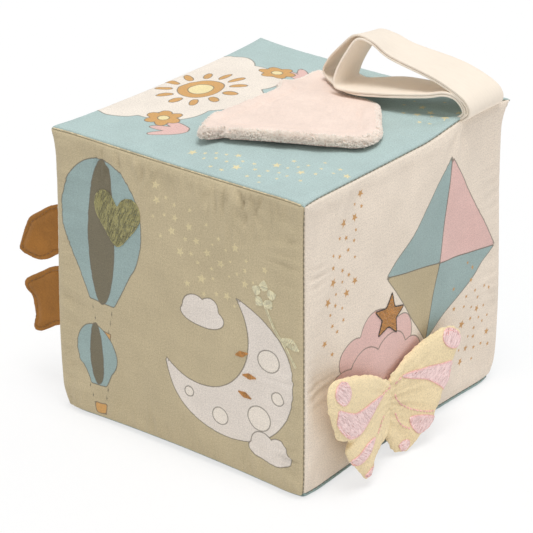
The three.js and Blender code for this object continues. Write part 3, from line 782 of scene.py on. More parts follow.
class Nodes:
    """A tree of shader nodes, put in one after another."""

    def __init__(self, tree):
        self.tree = tree

    def put(self, kind, sources, **settings):
        node = self.tree.nodes.new(kind)
        for key, value in settings.items():
            setattr(node, key, value)
        for key, source in sources.items():
            if isinstance(source, bpy.types.NodeSocket):
                self.tree.links.new(source, node.inputs[key])
            else:
                node.inputs[key].default_value = source
        return node

    def math(self, operation, first, second=0.0):
        return self.put("ShaderNodeMath", {0: first, 1: second}, operation=operation).outputs[0]

    def add(self, first, second):
        return self.math("ADD", first, second)

    def times(self, first, second):
        return self.math("MULTIPLY", first, second)

    def seen_directly(self):
        """One for rays from the camera, and for rays from glossy and clear things."""
        path = self.put("ShaderNodeLightPath", {}).outputs
        seen = self.math("MAXIMUM", path["Is Camera Ray"], path["Is Glossy Ray"])
        return self.math("MAXIMUM", seen, path["Is Transmission Ray"])

    def end_mixed(self, part, low, high, output):
        """Ends the tree in a mix of two shaders."""
        mixed = self.put("ShaderNodeMixShader", {0: part, 1: low.outputs[0], 2: high.outputs[0]})
        self.tree.links.new(mixed.outputs[0], self.tree.nodes[output].inputs[0])


class Finish(Nodes):
    """The nodes of one material."""

    def __init__(self, name, roughness, sheen=0.0, sheen_roughness=0.5, specular=CLOTH_SPECULAR):
        self.material = bpy.data.materials.new(name)
        self.material.use_nodes = True
        super().__init__(self.material.node_tree)
        self.shader = self.tree.nodes["Principled BSDF"]
        self.shader.inputs["Roughness"].default_value = roughness
        self.shader.inputs["Sheen Weight"].default_value = sheen
        self.shader.inputs["Sheen Roughness"].default_value = sheen_roughness
        self.shader.inputs["Specular IOR Level"].default_value = specular

    def mix(self, part, low, high, blend="MIX"):
        sources = {0: part, 6: low, 7: high}
        return self.put("ShaderNodeMix", sources, data_type="RGBA", blend_type=blend).outputs[2]

    def toned(self, base, tone):
        """A colour times a grey tone."""
        grey = self.put("ShaderNodeCombineColor", {0: tone, 1: tone, 2: tone}).outputs[0]
        return self.mix(1.0, base, grey, "MULTIPLY")

    def ramp(self, value, low, high, to_low=0.0, to_high=1.0):
        sources = {"Value": value, "From Min": low, "From Max": high, "To Min": to_low, "To Max": to_high}
        return self.put("ShaderNodeMapRange", sources).outputs[0]

    def object_places(self):
        return self.put("ShaderNodeTexCoord", {}).outputs["Object"]

    def uv(self, layer):
        return self.put("ShaderNodeUVMap", {}, uv_map=layer).outputs[0]

    def attribute(self, name):
        return self.put("ShaderNodeAttribute", {}, attribute_name=name).outputs["Fac"]

    def split(self, vector):
        return self.put("ShaderNodeSeparateXYZ", {0: vector}).outputs

    def stretched(self, vector, *factors):
        return self.put("ShaderNodeVectorMath", {0: vector, 1: factors}, operation="MULTIPLY").outputs[0]

    def noise(self, vector, scale, detail=2.0, roughness=0.5):
        sources = {"Vector": vector, "Scale": scale, "Detail": detail, "Roughness": roughness}
        return self.put("ShaderNodeTexNoise", sources).outputs[0]

    def bump(self, height, distance, strength=1.0, normal=None):
        sources = {"Height": height, "Distance": distance, "Strength": strength}
        if normal is not None:
            sources["Normal"] = normal
        return self.put("ShaderNodeBump", sources).outputs[0]

    def done(self, base, normal):
        self.tree.links.new(base, self.shader.inputs["Base Color"])
        self.tree.links.new(normal, self.shader.inputs["Normal"])
        return self.material


def woven(finish, base, places):
    """Ends a finish as cotton in a plain weave, with slubs, specks and mottling."""
    x, y, _ = finish.split(places)
    warp = finish.math("SINE", finish.times(x, math.pi * THREADS_PER_METRE))
    weft = finish.math("SINE", finish.times(y, math.pi * THREADS_PER_METRE))
    slubs = finish.add(
        finish.noise(finish.stretched(places, SLUB_STRETCH_SHARE, 1, 1), SLUB_NOISE_SCALE),
        finish.noise(finish.stretched(places, 1, SLUB_STRETCH_SHARE, 1), SLUB_NOISE_SCALE),
    )
    speck = finish.noise(places, GRAIN_NOISE_SCALE, roughness=0.7)
    mottle = finish.noise(places, MOTTLE_NOISE_SCALE, detail=4.0, roughness=0.6)
    specks = finish.add(finish.times(speck, SPECK_WEIGHT), mottle)
    total = finish.add(finish.times(slubs, SLUB_WEIGHT), specks)
    tone = finish.ramp(total, low=1.8, high=3.2, to_low=0.82, to_high=1.14)
    height = finish.add(finish.times(finish.times(warp, weft), WEAVE_WEIGHT), slubs)
    normal = finish.bump(height, WEAVE_BUMP)
    return finish.done(finish.toned(base, tone), finish.bump(speck, FIBRE_BUMP, strength=0.6, normal=normal))


def printed_cotton(panel, colours, unit):
    """A cover panel's cotton with its print. The layers are painted from their edge distances."""
    ground, star_colour, _ = PANEL_LOOKS[panel]
    finish = Finish(f"{panel}_cotton", COTTON_ROUGHNESS, COTTON_SHEEN)
    painted = finish.put("ShaderNodeRGB", {}).outputs[0]
    painted.default_value = linear(getattr(colours, ground))
    edge = PRINT_EDGE_SHARE * unit
    line_half = OUTLINE_HALF_SHARE * unit
    places = finish.uv("Cloth")
    bleed = finish.noise(places, FINE_NOISE_SCALE)
    wobble = finish.times(finish.math("SUBTRACT", bleed, 0.5), 2 * edge)
    for name, layer_colour, has_line, _, _ in PRINT_SHARES.get(panel, []):
        distance = finish.add(finish.attribute(f"print_{name}"), wobble)
        inside = finish.ramp(distance, edge, -edge)
        painted = finish.mix(inside, painted, linear(getattr(colours, layer_colour)))
        if has_line:
            line = finish.ramp(finish.math("ABSOLUTE", distance), line_half + edge, line_half - edge)
            painted = finish.mix(finish.times(line, OUTLINE_INK_SHARE), painted, linear(colours.outline))
    if panel in STAR_SHARES:
        inside = finish.times(star_mask(finish), STAR_INK_SHARES[panel])
        painted = finish.mix(inside, painted, linear(getattr(colours, star_colour)))
    return woven(finish, painted, places)


def star_mask(finish):
    """One inside a five-pointed star round the origin of the Stars map, and zero outside."""
    x, y, _ = finish.split(finish.uv("Stars"))
    radius = finish.math("SQRT", finish.add(finish.times(x, x), finish.times(y, y)))
    tenth = math.tau / 10
    turn = finish.math("PINGPONG", finish.math("ARCTAN2", y, x), tenth)
    tip = np.array([1.0, 0.0])
    side = STAR_WAIST_SHARE * np.array([math.cos(tenth), math.sin(tenth)]) - tip
    square = np.array([side[1], -side[0]]) / np.linalg.norm(side)
    lean = math.atan2(square[1], square[0])
    reach = float(tip @ square)
    across = finish.times(radius, finish.math("COSINE", finish.math("SUBTRACT", turn, lean)))
    return finish.ramp(across, reach + STAR_EDGE_SHARE, reach - STAR_EDGE_SHARE)


def plain_cotton(name, written, ground=None):
    """Plain woven cotton that is laid by the piece's own place, with a ground colour under embroidery: a
    rose backing, darker than the thread, that is painted shade in the gaps between the stitches.
    """
    finish = Finish(name, COTTON_ROUGHNESS, COTTON_SHEEN)
    tint = finish.noise(finish.object_places(), MOTTLE_NOISE_SCALE, detail=3.0)
    base = finish.mix(tint, linear(written, share=0.97), linear(written))
    if ground is not None:
        # Painted shade: a darker rose under the embroidery, seen in the gaps between the stitches
        base = finish.mix(finish.attribute("embroidered"), base, linear(ground))
    return woven(finish, base, finish.object_places())


def tape_cotton(name, written):
    """Fine twill along the tape."""
    finish = Finish(name, roughness=0.82, sheen=0.1)
    places = finish.uv("Cloth")
    x, y, _ = finish.split(places)
    ribs = finish.math("SINE", finish.times(finish.add(x, y), math.pi * THREADS_PER_METRE))
    flecks = finish.stretched(places, FLECK_STRETCH_SHARE, 1, 1)
    speck = finish.noise(flecks, FINE_NOISE_SCALE, detail=3.0, roughness=0.6)
    mottle = finish.noise(places, MOTTLE_NOISE_SCALE, detail=3.0)
    tone = finish.ramp(finish.add(speck, mottle), low=0.7, high=1.3, to_low=0.955, to_high=1.02)
    normal = finish.bump(ribs, WEAVE_BUMP / 2)
    return finish.done(finish.toned(linear(written), tone),
                       finish.bump(speck, WEAVE_BUMP, strength=0.8, normal=normal))


def thread(name, written, contrast=0.16):
    """Shiny embroidery thread, in a tone of its own at each stitch."""
    finish = Finish(name, roughness=0.38, sheen=0.15, sheen_roughness=0.3, specular=THREAD_SPECULAR)
    strands = finish.noise(finish.object_places(), scale=1800)
    tone = finish.ramp(finish.add(strands, finish.attribute("tone")), low=0.4, high=1.5)
    base = finish.mix(tone, linear(written, share=1 - contrast), linear(written, share=1.03))
    return finish.done(base, finish.bump(strands, WEAVE_BUMP / 2))


def pile(name, written, dark_share, sheen):
    """Plush or velvet: a tone in patches where the pile lies another way and in fine specks of fibre,
    darkened as painted shade between its lit tips, and a sheen on its rims.
    """
    finish = Finish(name, roughness=0.95, sheen=sheen, sheen_roughness=0.45)
    places = finish.object_places()
    patches = finish.noise(places, scale=70, detail=4.0, roughness=0.6)
    fibre = finish.noise(places, scale=1400, detail=3.0, roughness=0.7)
    tone = finish.ramp(finish.add(patches, fibre), low=0.65, high=1.3)
    # Painted shade: the darker colour stands for the shade between the pile's lit tips
    base = finish.mix(tone, linear(written, dark_share), linear(written, share=1.02))
    return finish.done(base, finish.bump(fibre, FIBRE_BUMP))


def foam_finish(name, written):
    """Open-cell foam with small pores, which are painted darker as their shade."""
    finish = Finish(name, roughness=0.95)
    sources = {"Vector": finish.object_places(), "Scale": 900}
    cells = finish.put("ShaderNodeTexVoronoi", sources).outputs[0]
    # Painted shade: darker in the pores
    base = finish.mix(cells, linear(written, share=0.8), linear(written))
    return finish.done(base, finish.bump(cells, FIBRE_BUMP * 2))


def plastic(name, written):
    """Moulded plastic with a faint orange-peel surface."""
    finish = Finish(name, roughness=0.35)
    cells = finish.noise(finish.object_places(), scale=300)
    base = finish.mix(cells, linear(written, share=0.97), linear(written))
    return finish.done(base, finish.bump(cells, WEAVE_BUMP / 2))


# Curves and stitches

STITCH_OVERLAP_SHARE = 0.5
# Height of a laid thread, as a share of its width
THREAD_FLAT_SHARE = 0.5
# Stitches of a filled shape: how their lengths vary, how the first ones stagger over three rows, and the
# shortest rest that is sewn by itself
STITCH_LENGTH_SHARES = (0.9, 1.1)
FIRST_STITCH_SHARES = (0.35, 0.65, 0.95)
STITCH_REST_SHARE = 0.25


def along_curve(corners, steps):
    """Places on a smooth curve through corners. Steps count corners, from the second one on."""
    points = []
    for at in steps:
        index = min(int(at), len(corners) - 4)
        part = at - index
        a, b, c, d = corners[index:index + 4]
        points.append(
            b + (c - a) * part / 2 + (a - 2.5 * b + 2 * c - d / 2) * part**2
            + (1.5 * b - a / 2 - 1.5 * c + d / 2) * part**3
        )
    return np.array(points)


def closed_curve(corners, steps):
    """Points of a smooth closed curve through corners."""
    corners = np.array(corners, dtype=float)
    ring = np.concatenate([corners[-1:], corners, corners[:2]])
    return along_curve(ring, [step * len(corners) / steps for step in range(steps)])


def smooth_path(corners, steps):
    """Points of a smooth open curve through corners."""
    corners = np.array(corners, dtype=float)
    longer = np.concatenate([2 * corners[:1] - corners[1:2], corners, 2 * corners[-1:] - corners[-2:-1]])
    return along_curve(longer, [step * (len(corners) - 1) / steps for step in range(steps + 1)])


def stitch_model():
    """One stitch as a short thread along Z, with rounded ends."""
    deselect()
    bpy.ops.mesh.primitive_uv_sphere_add(segments=6, ring_count=6, radius=1)
    model = bpy.context.object
    places = points_of(model.data)
    flat = np.hypot(places[:, 0], places[:, 1])
    fuller = np.where(flat > 0, np.sqrt(flat), 1)
    places[:, :2] *= (fuller / np.where(flat > 0, flat, 1))[:, None]
    set_points(model.data, places)
    return model


def sewn(name, starts, ends, ways, radius, finish, body, slot):
    """A piece of many stitches. ways holds the direction away from the cloth at each stitch."""
    along = ends - starts
    length = np.linalg.norm(along, axis=1, keepdims=True)
    unit = along / length
    side = unit_rows(np.cross(ways, unit))
    out = np.cross(unit, side)
    reach = length / 2 + radius * STITCH_OVERLAP_SHARE
    axes = np.stack([side * radius, out * radius * THREAD_FLAT_SHARE, unit * reach], axis=1)
    middles = (starts + ends) / 2 + out * radius * STITCH_OVERLAP_SHARE
    return give(repeated(name, stitch_model(), middles, axes), finish, body)


def joined(groups):
    """Groups of stitches as one group: each group holds starts, ends and what else goes with them."""
    return [np.concatenate(parts) for parts in zip(*groups)]


def running_stitches(path, stitch, gap):
    """Starts and ends of the stitches of a running stitch along a path of points."""
    path = np.array(path, dtype=float)
    steps = np.linalg.norm(np.diff(path, axis=0), axis=1)
    run = np.concatenate([[0], np.cumsum(steps)])
    count = max(1, int(run[-1] / (stitch + gap)))
    pitch = run[-1] / count
    begins = np.arange(count) * pitch

    def places(ways):
        return np.stack([np.interp(ways, run, column) for column in path.T], axis=1)

    return places(begins), places(begins + pitch * stitch / (stitch + gap))


def round_stitches(corners, stitch, gap=0):
    """The same, all the way round a shape."""
    return running_stitches(np.concatenate([corners, corners[:1]]), stitch, gap)


def row_cuts(along, across, row):
    """Where a row enters and leaves a flat shape, as pairs."""
    cuts = []
    for index in range(len(along)):
        if (across[index - 1] > row) != (across[index] > row):
            part = (row - across[index - 1]) / (across[index] - across[index - 1])
            cuts.append(along[index - 1] + part * (along[index] - along[index - 1]))
    cuts.sort()
    return zip(cuts[::2], cuts[1::2])


def satin_rows(corners, turn, pitch, stitch, seed, stray=0.0):
    """Starts and ends of stitches that fill a flat shape in rows, broken so that the breaks stagger.

    An end strays to the side by up to the given length."""
    dice = random.Random(seed)
    way = np.array([math.cos(turn), math.sin(turn)])
    over = np.array([-way[1], way[0]])
    corners = np.array(corners, dtype=float)
    along, across = corners @ way, corners @ over
    starts, ends = [], []
    row = across.min() + pitch / 2
    number = 0
    while row < across.max():
        for at, high in row_cuts(along, across, row):
            reach = stitch * FIRST_STITCH_SHARES[number % 3] * dice.uniform(*STITCH_LENGTH_SHARES)
            while high - at > pitch:
                end = min(high, at + reach)
                if high - end < stitch * STITCH_REST_SHARE:
                    end = high
                starts.append(way * at + over * (row + dice.uniform(-stray, stray)))
                ends.append(way * end + over * (row + dice.uniform(-stray, stray)))
                at = end
                reach = stitch * dice.uniform(*STITCH_LENGTH_SHARES)
        row += pitch
        number += 1
    return np.array(starts).reshape(-1, 2), np.array(ends).reshape(-1, 2)


class Ground:
    """A finished piece that stitches are laid on, seen straight from outside."""

    def __init__(self, piece, right, up, middle=(0, 0, 0)):
        mesh = piece.evaluated_get(bpy.context.evaluated_depsgraph_get()).to_mesh()
        self.tree = BVHTree.FromPolygons(
            [v.co.copy() for v in mesh.vertices], [tuple(face.vertices) for face in mesh.polygons]
        )
        self.right, self.up = Vector(right), Vector(up)
        self.outward = self.right.cross(self.up)
        self.middle = Vector(middle)

    def lay(self, flat):
        """Places on the cloth and ways out of it, for places on the flat picture of it."""
        reach = (Vector(cad_box[1]) - Vector(cad_box[0])).length
        places, ways = [], []
        for first, second in flat:
            start = self.middle + self.right * first + self.up * second + self.outward * reach
            place, way, _, _ = self.tree.ray_cast(start, -self.outward)
            if place is None:
                place = self.tree.find_nearest(start - self.outward * reach)[0]
                way = self.outward
            places.append(place)
            ways.append(way if way.dot(self.outward) > 0 else -way)
        return np.array(places), np.array(ways)

    def sew(self, name, starts, ends, radius, finish, body, slot):
        first, ways = self.lay(starts)
        last, more = self.lay(ends)
        return sewn(name, first, last, ways + more, radius, finish, body, slot)


# Cover panels

# Lengths of a panel's slow waves and of its slow gathers, as shares of the block's width
UNEVEN_PITCH_SHARE = 1 / 3
SLOW_GATHER_SHARE = 1 / 4
# How far gathers drift aside, and how much the slow ones lower or raise the fine ones
GATHER_DRIFT_SHARE = 1 / 4
GATHER_LIMIT_SHARES = (0.5, 1.5)
GATHER_WAVES = 3
SEEDS_PER_PANEL = 10
SLOW_SEED_STEP = 5
# Panels whose waves are lower: the base lies on the floor, and the leaves swing close to the left side
CALM_SHARES = {"bottom_panel": 0.3, "left_panel": 0.4}
# The way in which the tape's pull runs over a panel, and how many creases there are to a full turn
TAPE_CREASE_TURNS = {"top_panel": math.radians(205), "right_panel": math.radians(250)}
TAPE_CREASE_COUNT = 9


def shaped_panel(name):
    """A cover panel: a grid that is laid on the stuffed block and rolled in at its seams."""
    half = halves(bpy.context.scene.block_sizes)
    right, up = (np.array(way, dtype=float) for way in PANEL_WAYS[name])
    outward = np.cross(right, up)
    wide, tall, ends = panel_reach(name)
    columns, rows = panel_rows(*ends[:2]), panel_rows(*ends[2:])
    piece = new_grid(name.replace("panel", "cover"), len(columns) - 1, len(rows) - 1)
    flat = points_of(piece.data)
    x = np.interp(flat[:, 0], np.linspace(-1, 1, len(columns)), columns)
    y = np.interp(flat[:, 1], np.linspace(-1, 1, len(rows)), rows)
    wrapped = np.maximum(0, x - wide) / (np.abs(outward) @ half)
    across = np.minimum(x, wide) / wide
    unit = across[:, None] * right + (y / tall)[:, None] * up + (1 - wrapped)[:, None] * outward
    places, ways = cushion(unit)
    places = places + ways * panel_relief(name, x, y, ends)[:, None]
    places[:, 2] = np.maximum(places[:, 2], 0)
    set_points(piece.data, places)
    return piece, np.stack([x, y], axis=1)


def panel_relief(name, x, y, ends):
    """How far a panel's cloth stands out: seams, gathers beside them and waves."""
    sizes = bpy.context.scene.block_sizes
    seed = sorted(PANEL_WAYS).index(name) * SEEDS_PER_PANEL
    left, right, low, high = ends
    relief = sizes.unevenness * waves(x, y, sizes.width * UNEVEN_PITCH_SHARE, seed)
    relief += sizes.crease * waves(x, y, sizes.crease_pitch, seed + 1)
    relief *= CALM_SHARES.get(name, 1)
    if name in TAPE_CREASE_TURNS:
        relief += tape_creases(name, x, y)
    nearest = np.full(len(x), np.inf)
    seams = [(right - x, y), (x - left, y), (high - y, x), (y - low, x)]
    for index, (strength, (distance, along)) in enumerate(zip(PUCKER_SHARES[name], seams)):
        nearest = np.minimum(nearest, distance)
        relief += strength * gathers(distance, along, seed + index)
    zone = 2 * sizes.edge_radius
    inside = 1 - np.exp(-((nearest / zone) ** 2))
    dip = np.exp(-((nearest / sizes.seam_width) ** 2))
    shoulder = np.exp(-(((nearest - zone) / sizes.edge_radius) ** 2))
    return relief * inside - sizes.seam_depth * dip + sizes.shoulder * shoulder


def gathers(distance, along, seed):
    """Gathers that run from a seam into a panel and fade out."""
    sizes = bpy.context.scene.block_sizes
    drift = distance * waves(along, 0, sizes.crease_pitch, seed, GATHER_WAVES) * GATHER_DRIFT_SHARE
    fine = waves(along + drift, 0, sizes.pucker_pitch, seed, GATHER_WAVES)
    slow = waves(along, 0, sizes.width * SLOW_GATHER_SHARE, seed + SLOW_SEED_STEP, GATHER_WAVES)
    fade = np.exp(-distance / sizes.pucker_reach) * (1 - np.exp(-distance / sizes.edge_radius * 2))
    return sizes.pucker * fine * np.clip(1 + slow / 2, *GATHER_LIMIT_SHARES) * fade


def tape_creases(name, x, y):
    """Creases that run away from the near end of the tape's seam."""
    sizes, tape = bpy.context.scene.block_sizes, bpy.context.scene.tape_sizes
    if name == "top_panel":
        dx, dy = x - sizes.width / 2, y - tape.seam_near
    else:
        dx, dy = x - tape.seam_near, y - sizes.height / 2
    reach = np.hypot(dx, dy)
    away = np.angle(np.exp(1j * (np.arctan2(dy, dx) - TAPE_CREASE_TURNS[name])))
    fade = np.exp(-reach / sizes.tape_crease_reach) * np.exp(-(away**2))
    fade *= eased(reach, 0, sizes.crease_pitch / 2)
    return sizes.tape_crease * np.cos(TAPE_CREASE_COUNT * away) * fade


def paint_print(mesh, panel, flat, unit):
    """Stores every print layer's edge distance at the panel's points."""
    shares = flat / unit
    for name, _, _, added, cut in PRINT_SHARES.get(panel, []):
        distance = np.minimum.reduce([SHAPES[kind](shares, *numbers) for kind, *numbers in added])
        for kind, *numbers in cut:
            distance = np.maximum(distance, -SHAPES[kind](shares, *numbers))
        paint(mesh, f"print_{name}", distance * unit)


def star_places(panel):
    """Centres, radii and turns of a panel's stars, in shares, kept apart from one another."""
    stars = []
    for line, half_width, count, seed in STAR_SHARES[panel]:
        dice = random.Random(seed)
        tries = 0
        wanted = len(stars) + count
        while len(stars) < wanted and tries < TRIES_PER_STAR * count:
            tries += 1
            index = dice.randrange(len(line) - 1)
            part = dice.random()
            x, y = (
                begin * (1 - part) + end * part + dice.gauss(0, half_width / 2)
                for begin, end in zip(line[index], line[index + 1])
            )
            if dice.random() < LARGE_STARS_SHARE:
                radius = LARGE_STAR_SHARE * dice.uniform(*LARGE_STAR_SPREAD_SHARES)
            else:
                radius = SMALL_STAR_SHARE * dice.uniform(*SMALL_STAR_SPREAD_SHARES)
            room = radius + STAR_ROOM_SHARE
            if all(math.hypot(x - a, y - b) > room + other for a, b, other, _ in stars):
                stars.append((x, y, radius, dice.uniform(0, math.tau)))
    return np.array(stars)


def lay_star_map(mesh, panel, flat, unit):
    """A UV map that puts each face round its nearest star: one unit is that star's radius."""
    stars = star_places(panel)
    shares = flat / unit
    corner_faces = np.repeat(np.arange(len(mesh.polygons)), [face.loop_total for face in mesh.polygons])
    middles = np.array([shares[list(face.vertices)].mean(axis=0) for face in mesh.polygons])
    gaps = np.linalg.norm(middles[:, None, :] - stars[None, :, :2], axis=2) / stars[None, :, 2]
    nearest = gaps.argmin(axis=1)[corner_faces]
    centre, radius, turn = stars[nearest, :2], stars[nearest, 2], stars[nearest, 3]
    away = (shares[corner_points(mesh)] - centre) / radius[:, None]
    local = np.stack([
        away[:, 0] * np.cos(turn) + away[:, 1] * np.sin(turn),
        away[:, 1] * np.cos(turn) - away[:, 0] * np.sin(turn),
    ], axis=1)
    lay_map(mesh, "Stars", np.clip(local, -FAR_FROM_STARS, FAR_FROM_STARS))


class FABRIC_OT_cover(Operator):
    """Sews the six printed cotton panels over the foam"""

    bl_idname = "fabric_block.cover"
    bl_label = "Cover panels"

    def execute(self, context):
        sizes, colours = context.scene.block_sizes, context.scene.block_colours
        unit = sizes.width / 2
        for name in PANEL_WAYS:
            piece, flat = shaped_panel(name)
            lay_map(piece.data, "Cloth", flat[corner_points(piece.data)])
            paint_print(piece.data, name, flat, unit)
            if name in STAR_SHARES:
                lay_star_map(piece.data, name, flat, unit)
            modify(piece, "Cloth thickness", "SOLIDIFY", thickness=sizes.cloth, offset=-1)
            bpy.ops.object.shade_smooth()
            give(piece, printed_cotton(name, colours, unit), "block")
            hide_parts(name)
            left, right, low, high = panel_reach(name)[2]
        return {"FINISHED"}


# A seam is named by the axis that it runs along and by the sides of the other two axes that it lies on
TOP_OF_FRONT = (0, -1, 1)
BASE_OF_RIGHT = (1, 1, -1)
SEAM_STEPS = 160
# Gap between two stitches along the top of the front, as a share of the other seams' gap. These close pale
# stitches are partly a painted highlight: they also stand for the olive cloth's lit edge along that seam
FRONT_GAP_SHARE = 1 / 4


class FABRIC_OT_seams(Operator):
    """Runs the visible stitches along the block's twelve seams"""

    bl_idname = "fabric_block.seams"
    bl_label = "Seam stitches"

    def execute(self, context):
        sizes, colours = context.scene.block_sizes, context.scene.block_colours
        dark_seams = list(itertools.product(range(3), (-1, 1), (-1, 1)))
        dark_seams.remove(TOP_OF_FRONT)
        sunk = sizes.seam_depth - 2 * sizes.thread
        dark = thread("seam_stitches", colours.dark_seam_thread)
        self.run_thread("seam_stitches", dark_seams, sizes.stitch_gap, sizes.thread, sunk, dark)
        # The pale thread along the top of the front is real thread and partly a painted highlight of the
        # olive cloth's lit edge
        pale = thread("front_seam_stitches", colours.seam_thread_and_lit_edge)
        gap = sizes.stitch_gap * FRONT_GAP_SHARE
        self.run_thread("front_seam_stitches", [TOP_OF_FRONT], gap, sizes.front_thread_and_lit_edge, 0, pale)
        return {"FINISHED"}

    def run_thread(self, name, seams, gap, radius, depth, finish):
        """Runs one thread along some seams, as deep under the seam's surface as depth says."""
        sizes = bpy.context.scene.block_sizes
        rows = []
        for seam in seams:
            path, way = self.seam_path(sizes, seam, depth)
            starts, ends = running_stitches(path, sizes.stitch, gap)
            rows.append((starts, ends, np.tile(way, (len(starts), 1))))
        sewn(name, *joined(rows), radius, finish, "block", "olive_cotton")

    def seam_path(self, sizes, seam, depth):
        """A line along one seam: seam holds its axis and on which sides of the other two axes it lies."""
        axis, first, second = seam
        others = [other for other in range(3) if other != axis]
        reach = 1 - sizes.edge_radius / halves(sizes)[axis]
        unit = np.zeros((SEAM_STEPS, 3))
        unit[:, axis] = np.linspace(-reach, reach, SEAM_STEPS)
        unit[:, others[0]], unit[:, others[1]] = first, second
        if seam == BASE_OF_RIGHT:
            unit[:, 2] += sizes.base_wrap / halves(sizes)[2]
        places, outward = cushion(unit)
        path = places - outward * depth
        path[:, 2] = np.maximum(path[:, 2], 2 * sizes.thread)
        return path, outward[0]


# Embroidery on the printed sides, in shares of half the block's width

HEART_SHARES = [
    (0.0, -0.17), (0.10, -0.08), (0.18, 0.02), (0.19, 0.11), (0.13, 0.17), (0.05, 0.15), (0.0, 0.09),
    (-0.05, 0.15), (-0.13, 0.17), (-0.19, 0.11), (-0.18, 0.02), (-0.10, -0.08),
]
HEART_PLACE_SHARES = (-0.45, 0.50)
STITCHED_STAR_SHARE = 0.15
STITCHED_STAR_PLACE_SHARES = (-0.24, -0.02)
SPRIG_PLACE_SHARES = (0.72, 0.34)
SPRIG_PETAL_SHARES = [(0.0, 0.03), (0.035, 0.055), (0.0, 0.095), (-0.035, 0.055)]
SPRIG_STEM_SHARES = [(0.72, 0.30), (0.80, 0.12), (0.95, -0.08)]
SPRIG_LEAF_SHARES = [(0.83, 0.08), (0.92, 0.10), (0.97, 0.04), (0.90, 0.03)]
BEAM_PLACE_SHARES = [(0.55, -0.10), (0.60, -0.24), (0.56, -0.38)]
BEAM_SHARES = [(-0.05, 0.0), (0.0, 0.022), (0.06, 0.0), (0.0, -0.022)]


BEAM_TURNS = [math.radians(20), 0, math.radians(-20)]
PETAL_COUNT = 5
BORDER_THREAD_SHARE = 1.2


def star_corners(place, radius, turn):
    """The ten corners of a five-pointed star."""
    corners = []
    for index in range(10):
        reach = radius * (1 if index % 2 == 0 else STAR_WAIST_SHARE)
        way = turn + math.tau * index / 10
        corners.append((place[0] + reach * math.cos(way), place[1] + reach * math.sin(way)))
    return np.array(corners)


def moved(shares, place, unit, turn=0.0):
    """A flat shape of shares, turned, moved to its place and scaled to its unit."""
    first, second = np.array(shares, dtype=float).T
    cosine, sine = math.cos(turn), math.sin(turn)
    turned = np.stack([first * cosine - second * sine, first * sine + second * cosine], axis=1)
    return (turned + np.array(place)) * unit


class FABRIC_OT_embroidery(Operator):
    """Embroiders the heart, the sprig and the beams on the front and the star on the right side"""

    bl_idname = "fabric_block.embroidery"
    bl_label = "Embroidery on the cover"

    def execute(self, context):
        sizes, colours = context.scene.block_sizes, context.scene.block_colours
        needle = context.scene.butterfly_sizes
        unit = sizes.width / 2
        middle = (0, 0, sizes.height / 2)
        front = Ground(bpy.data.objects["front_cover"], *PANEL_WAYS["front_panel"], middle)
        right = Ground(bpy.data.objects["right_cover"], *PANEL_WAYS["right_panel"], middle)
        green = thread("green_thread", colours.green_thread, contrast=0.4)
        ochre = thread("ochre_thread", colours.ochre_thread)

        def sew(name, ground, groups, finish, radius_share=1):
            slot = "olive_cotton" if ground is front else "cream_cotton"
            ground.sew(name, *joined(groups), needle.thread * radius_share, finish, "block", slot)

        def fill(corners, turn, seed=SEED):
            return satin_rows(corners, turn, needle.stitch_pitch, needle.stitch, seed)

        def border(corners):
            return round_stitches(corners, needle.stitch / 2)

        heart = closed_curve(moved(HEART_SHARES, HEART_PLACE_SHARES, unit), steps=72)
        sew("heart_embroidery", front, [fill(heart, turn=math.radians(70))], green)
        sew("heart_border", front, [border(heart)], green, BORDER_THREAD_SHARE)

        star = star_corners(STITCHED_STAR_PLACE_SHARES, STITCHED_STAR_SHARE, turn=math.radians(80)) * unit
        sew("star_embroidery", right, [fill(star, turn=math.radians(-35))], ochre)
        dark = thread("dark_thread", colours.dark_thread)
        sew("star_border", right, [border(star)], dark, BORDER_THREAD_SHARE)

        sprig = []
        for index in range(PETAL_COUNT):
            turn = math.tau * index / PETAL_COUNT
            petal = moved(SPRIG_PETAL_SHARES, SPRIG_PLACE_SHARES, unit, turn)
            sprig.append(fill(closed_curve(petal, steps=24), turn, index))
        leaf = closed_curve(np.array(SPRIG_LEAF_SHARES) * unit, steps=24)
        sprig.append(fill(leaf, turn=math.radians(60)))
        stem = np.array(SPRIG_STEM_SHARES) * unit
        for shift in (-needle.thread, needle.thread):
            sprig.append(running_stitches(stem + shift, needle.stitch, 0))
        sew("sprig_embroidery", front, sprig, thread("straw_thread", colours.straw_thread))

        beams = []
        for index, (place, turn) in enumerate(zip(BEAM_PLACE_SHARES, BEAM_TURNS)):
            beams.append(fill(moved(BEAM_SHARES, place, unit, turn), turn + math.pi / 2, index))
        sew("beam_embroidery", front, beams, ochre)
        return {"FINISHED"}


# Flap

OUTLINE_STEPS = 120
# How strongly the nap leans a tuft over, along each axis, and how far tufts stray from their way
NAP_WAY_SHARES = (-0.105, -0.225, 0.0)
TUFT_SPREAD_SHARE = 0.45
# The lowest that a tuft may point, and the lowest that the cloth under it may face
TUFT_FALL_SHARE = -0.1
UNDERSIDE_SHARE = -0.5
TUFT_TIP_SHARE = 0.45
TUFT_LENGTH_SHARES = (0.45, 1.1)
TUFT_RADIUS_SHARES = (0.8, 1.4)
# Length of the pile where the flap's edge faces away from the front
BACK_PILE_SHARE = 0.3
# Half width of the sewn line in voxels, and the swell's place and half width in insets of that line
SEWN_LINE_SHARE = 1.5
SWELL_PLACE_SHARE = 1 / 2.2
SWELL_WIDTH_SHARE = 1 / 3
# The plush's thickness that the lining takes up, in thicknesses of the lining
LINING_TAKE_SHARE = 3
# Stands in for the area of a face that has none
TINY_AREA = 1e-12


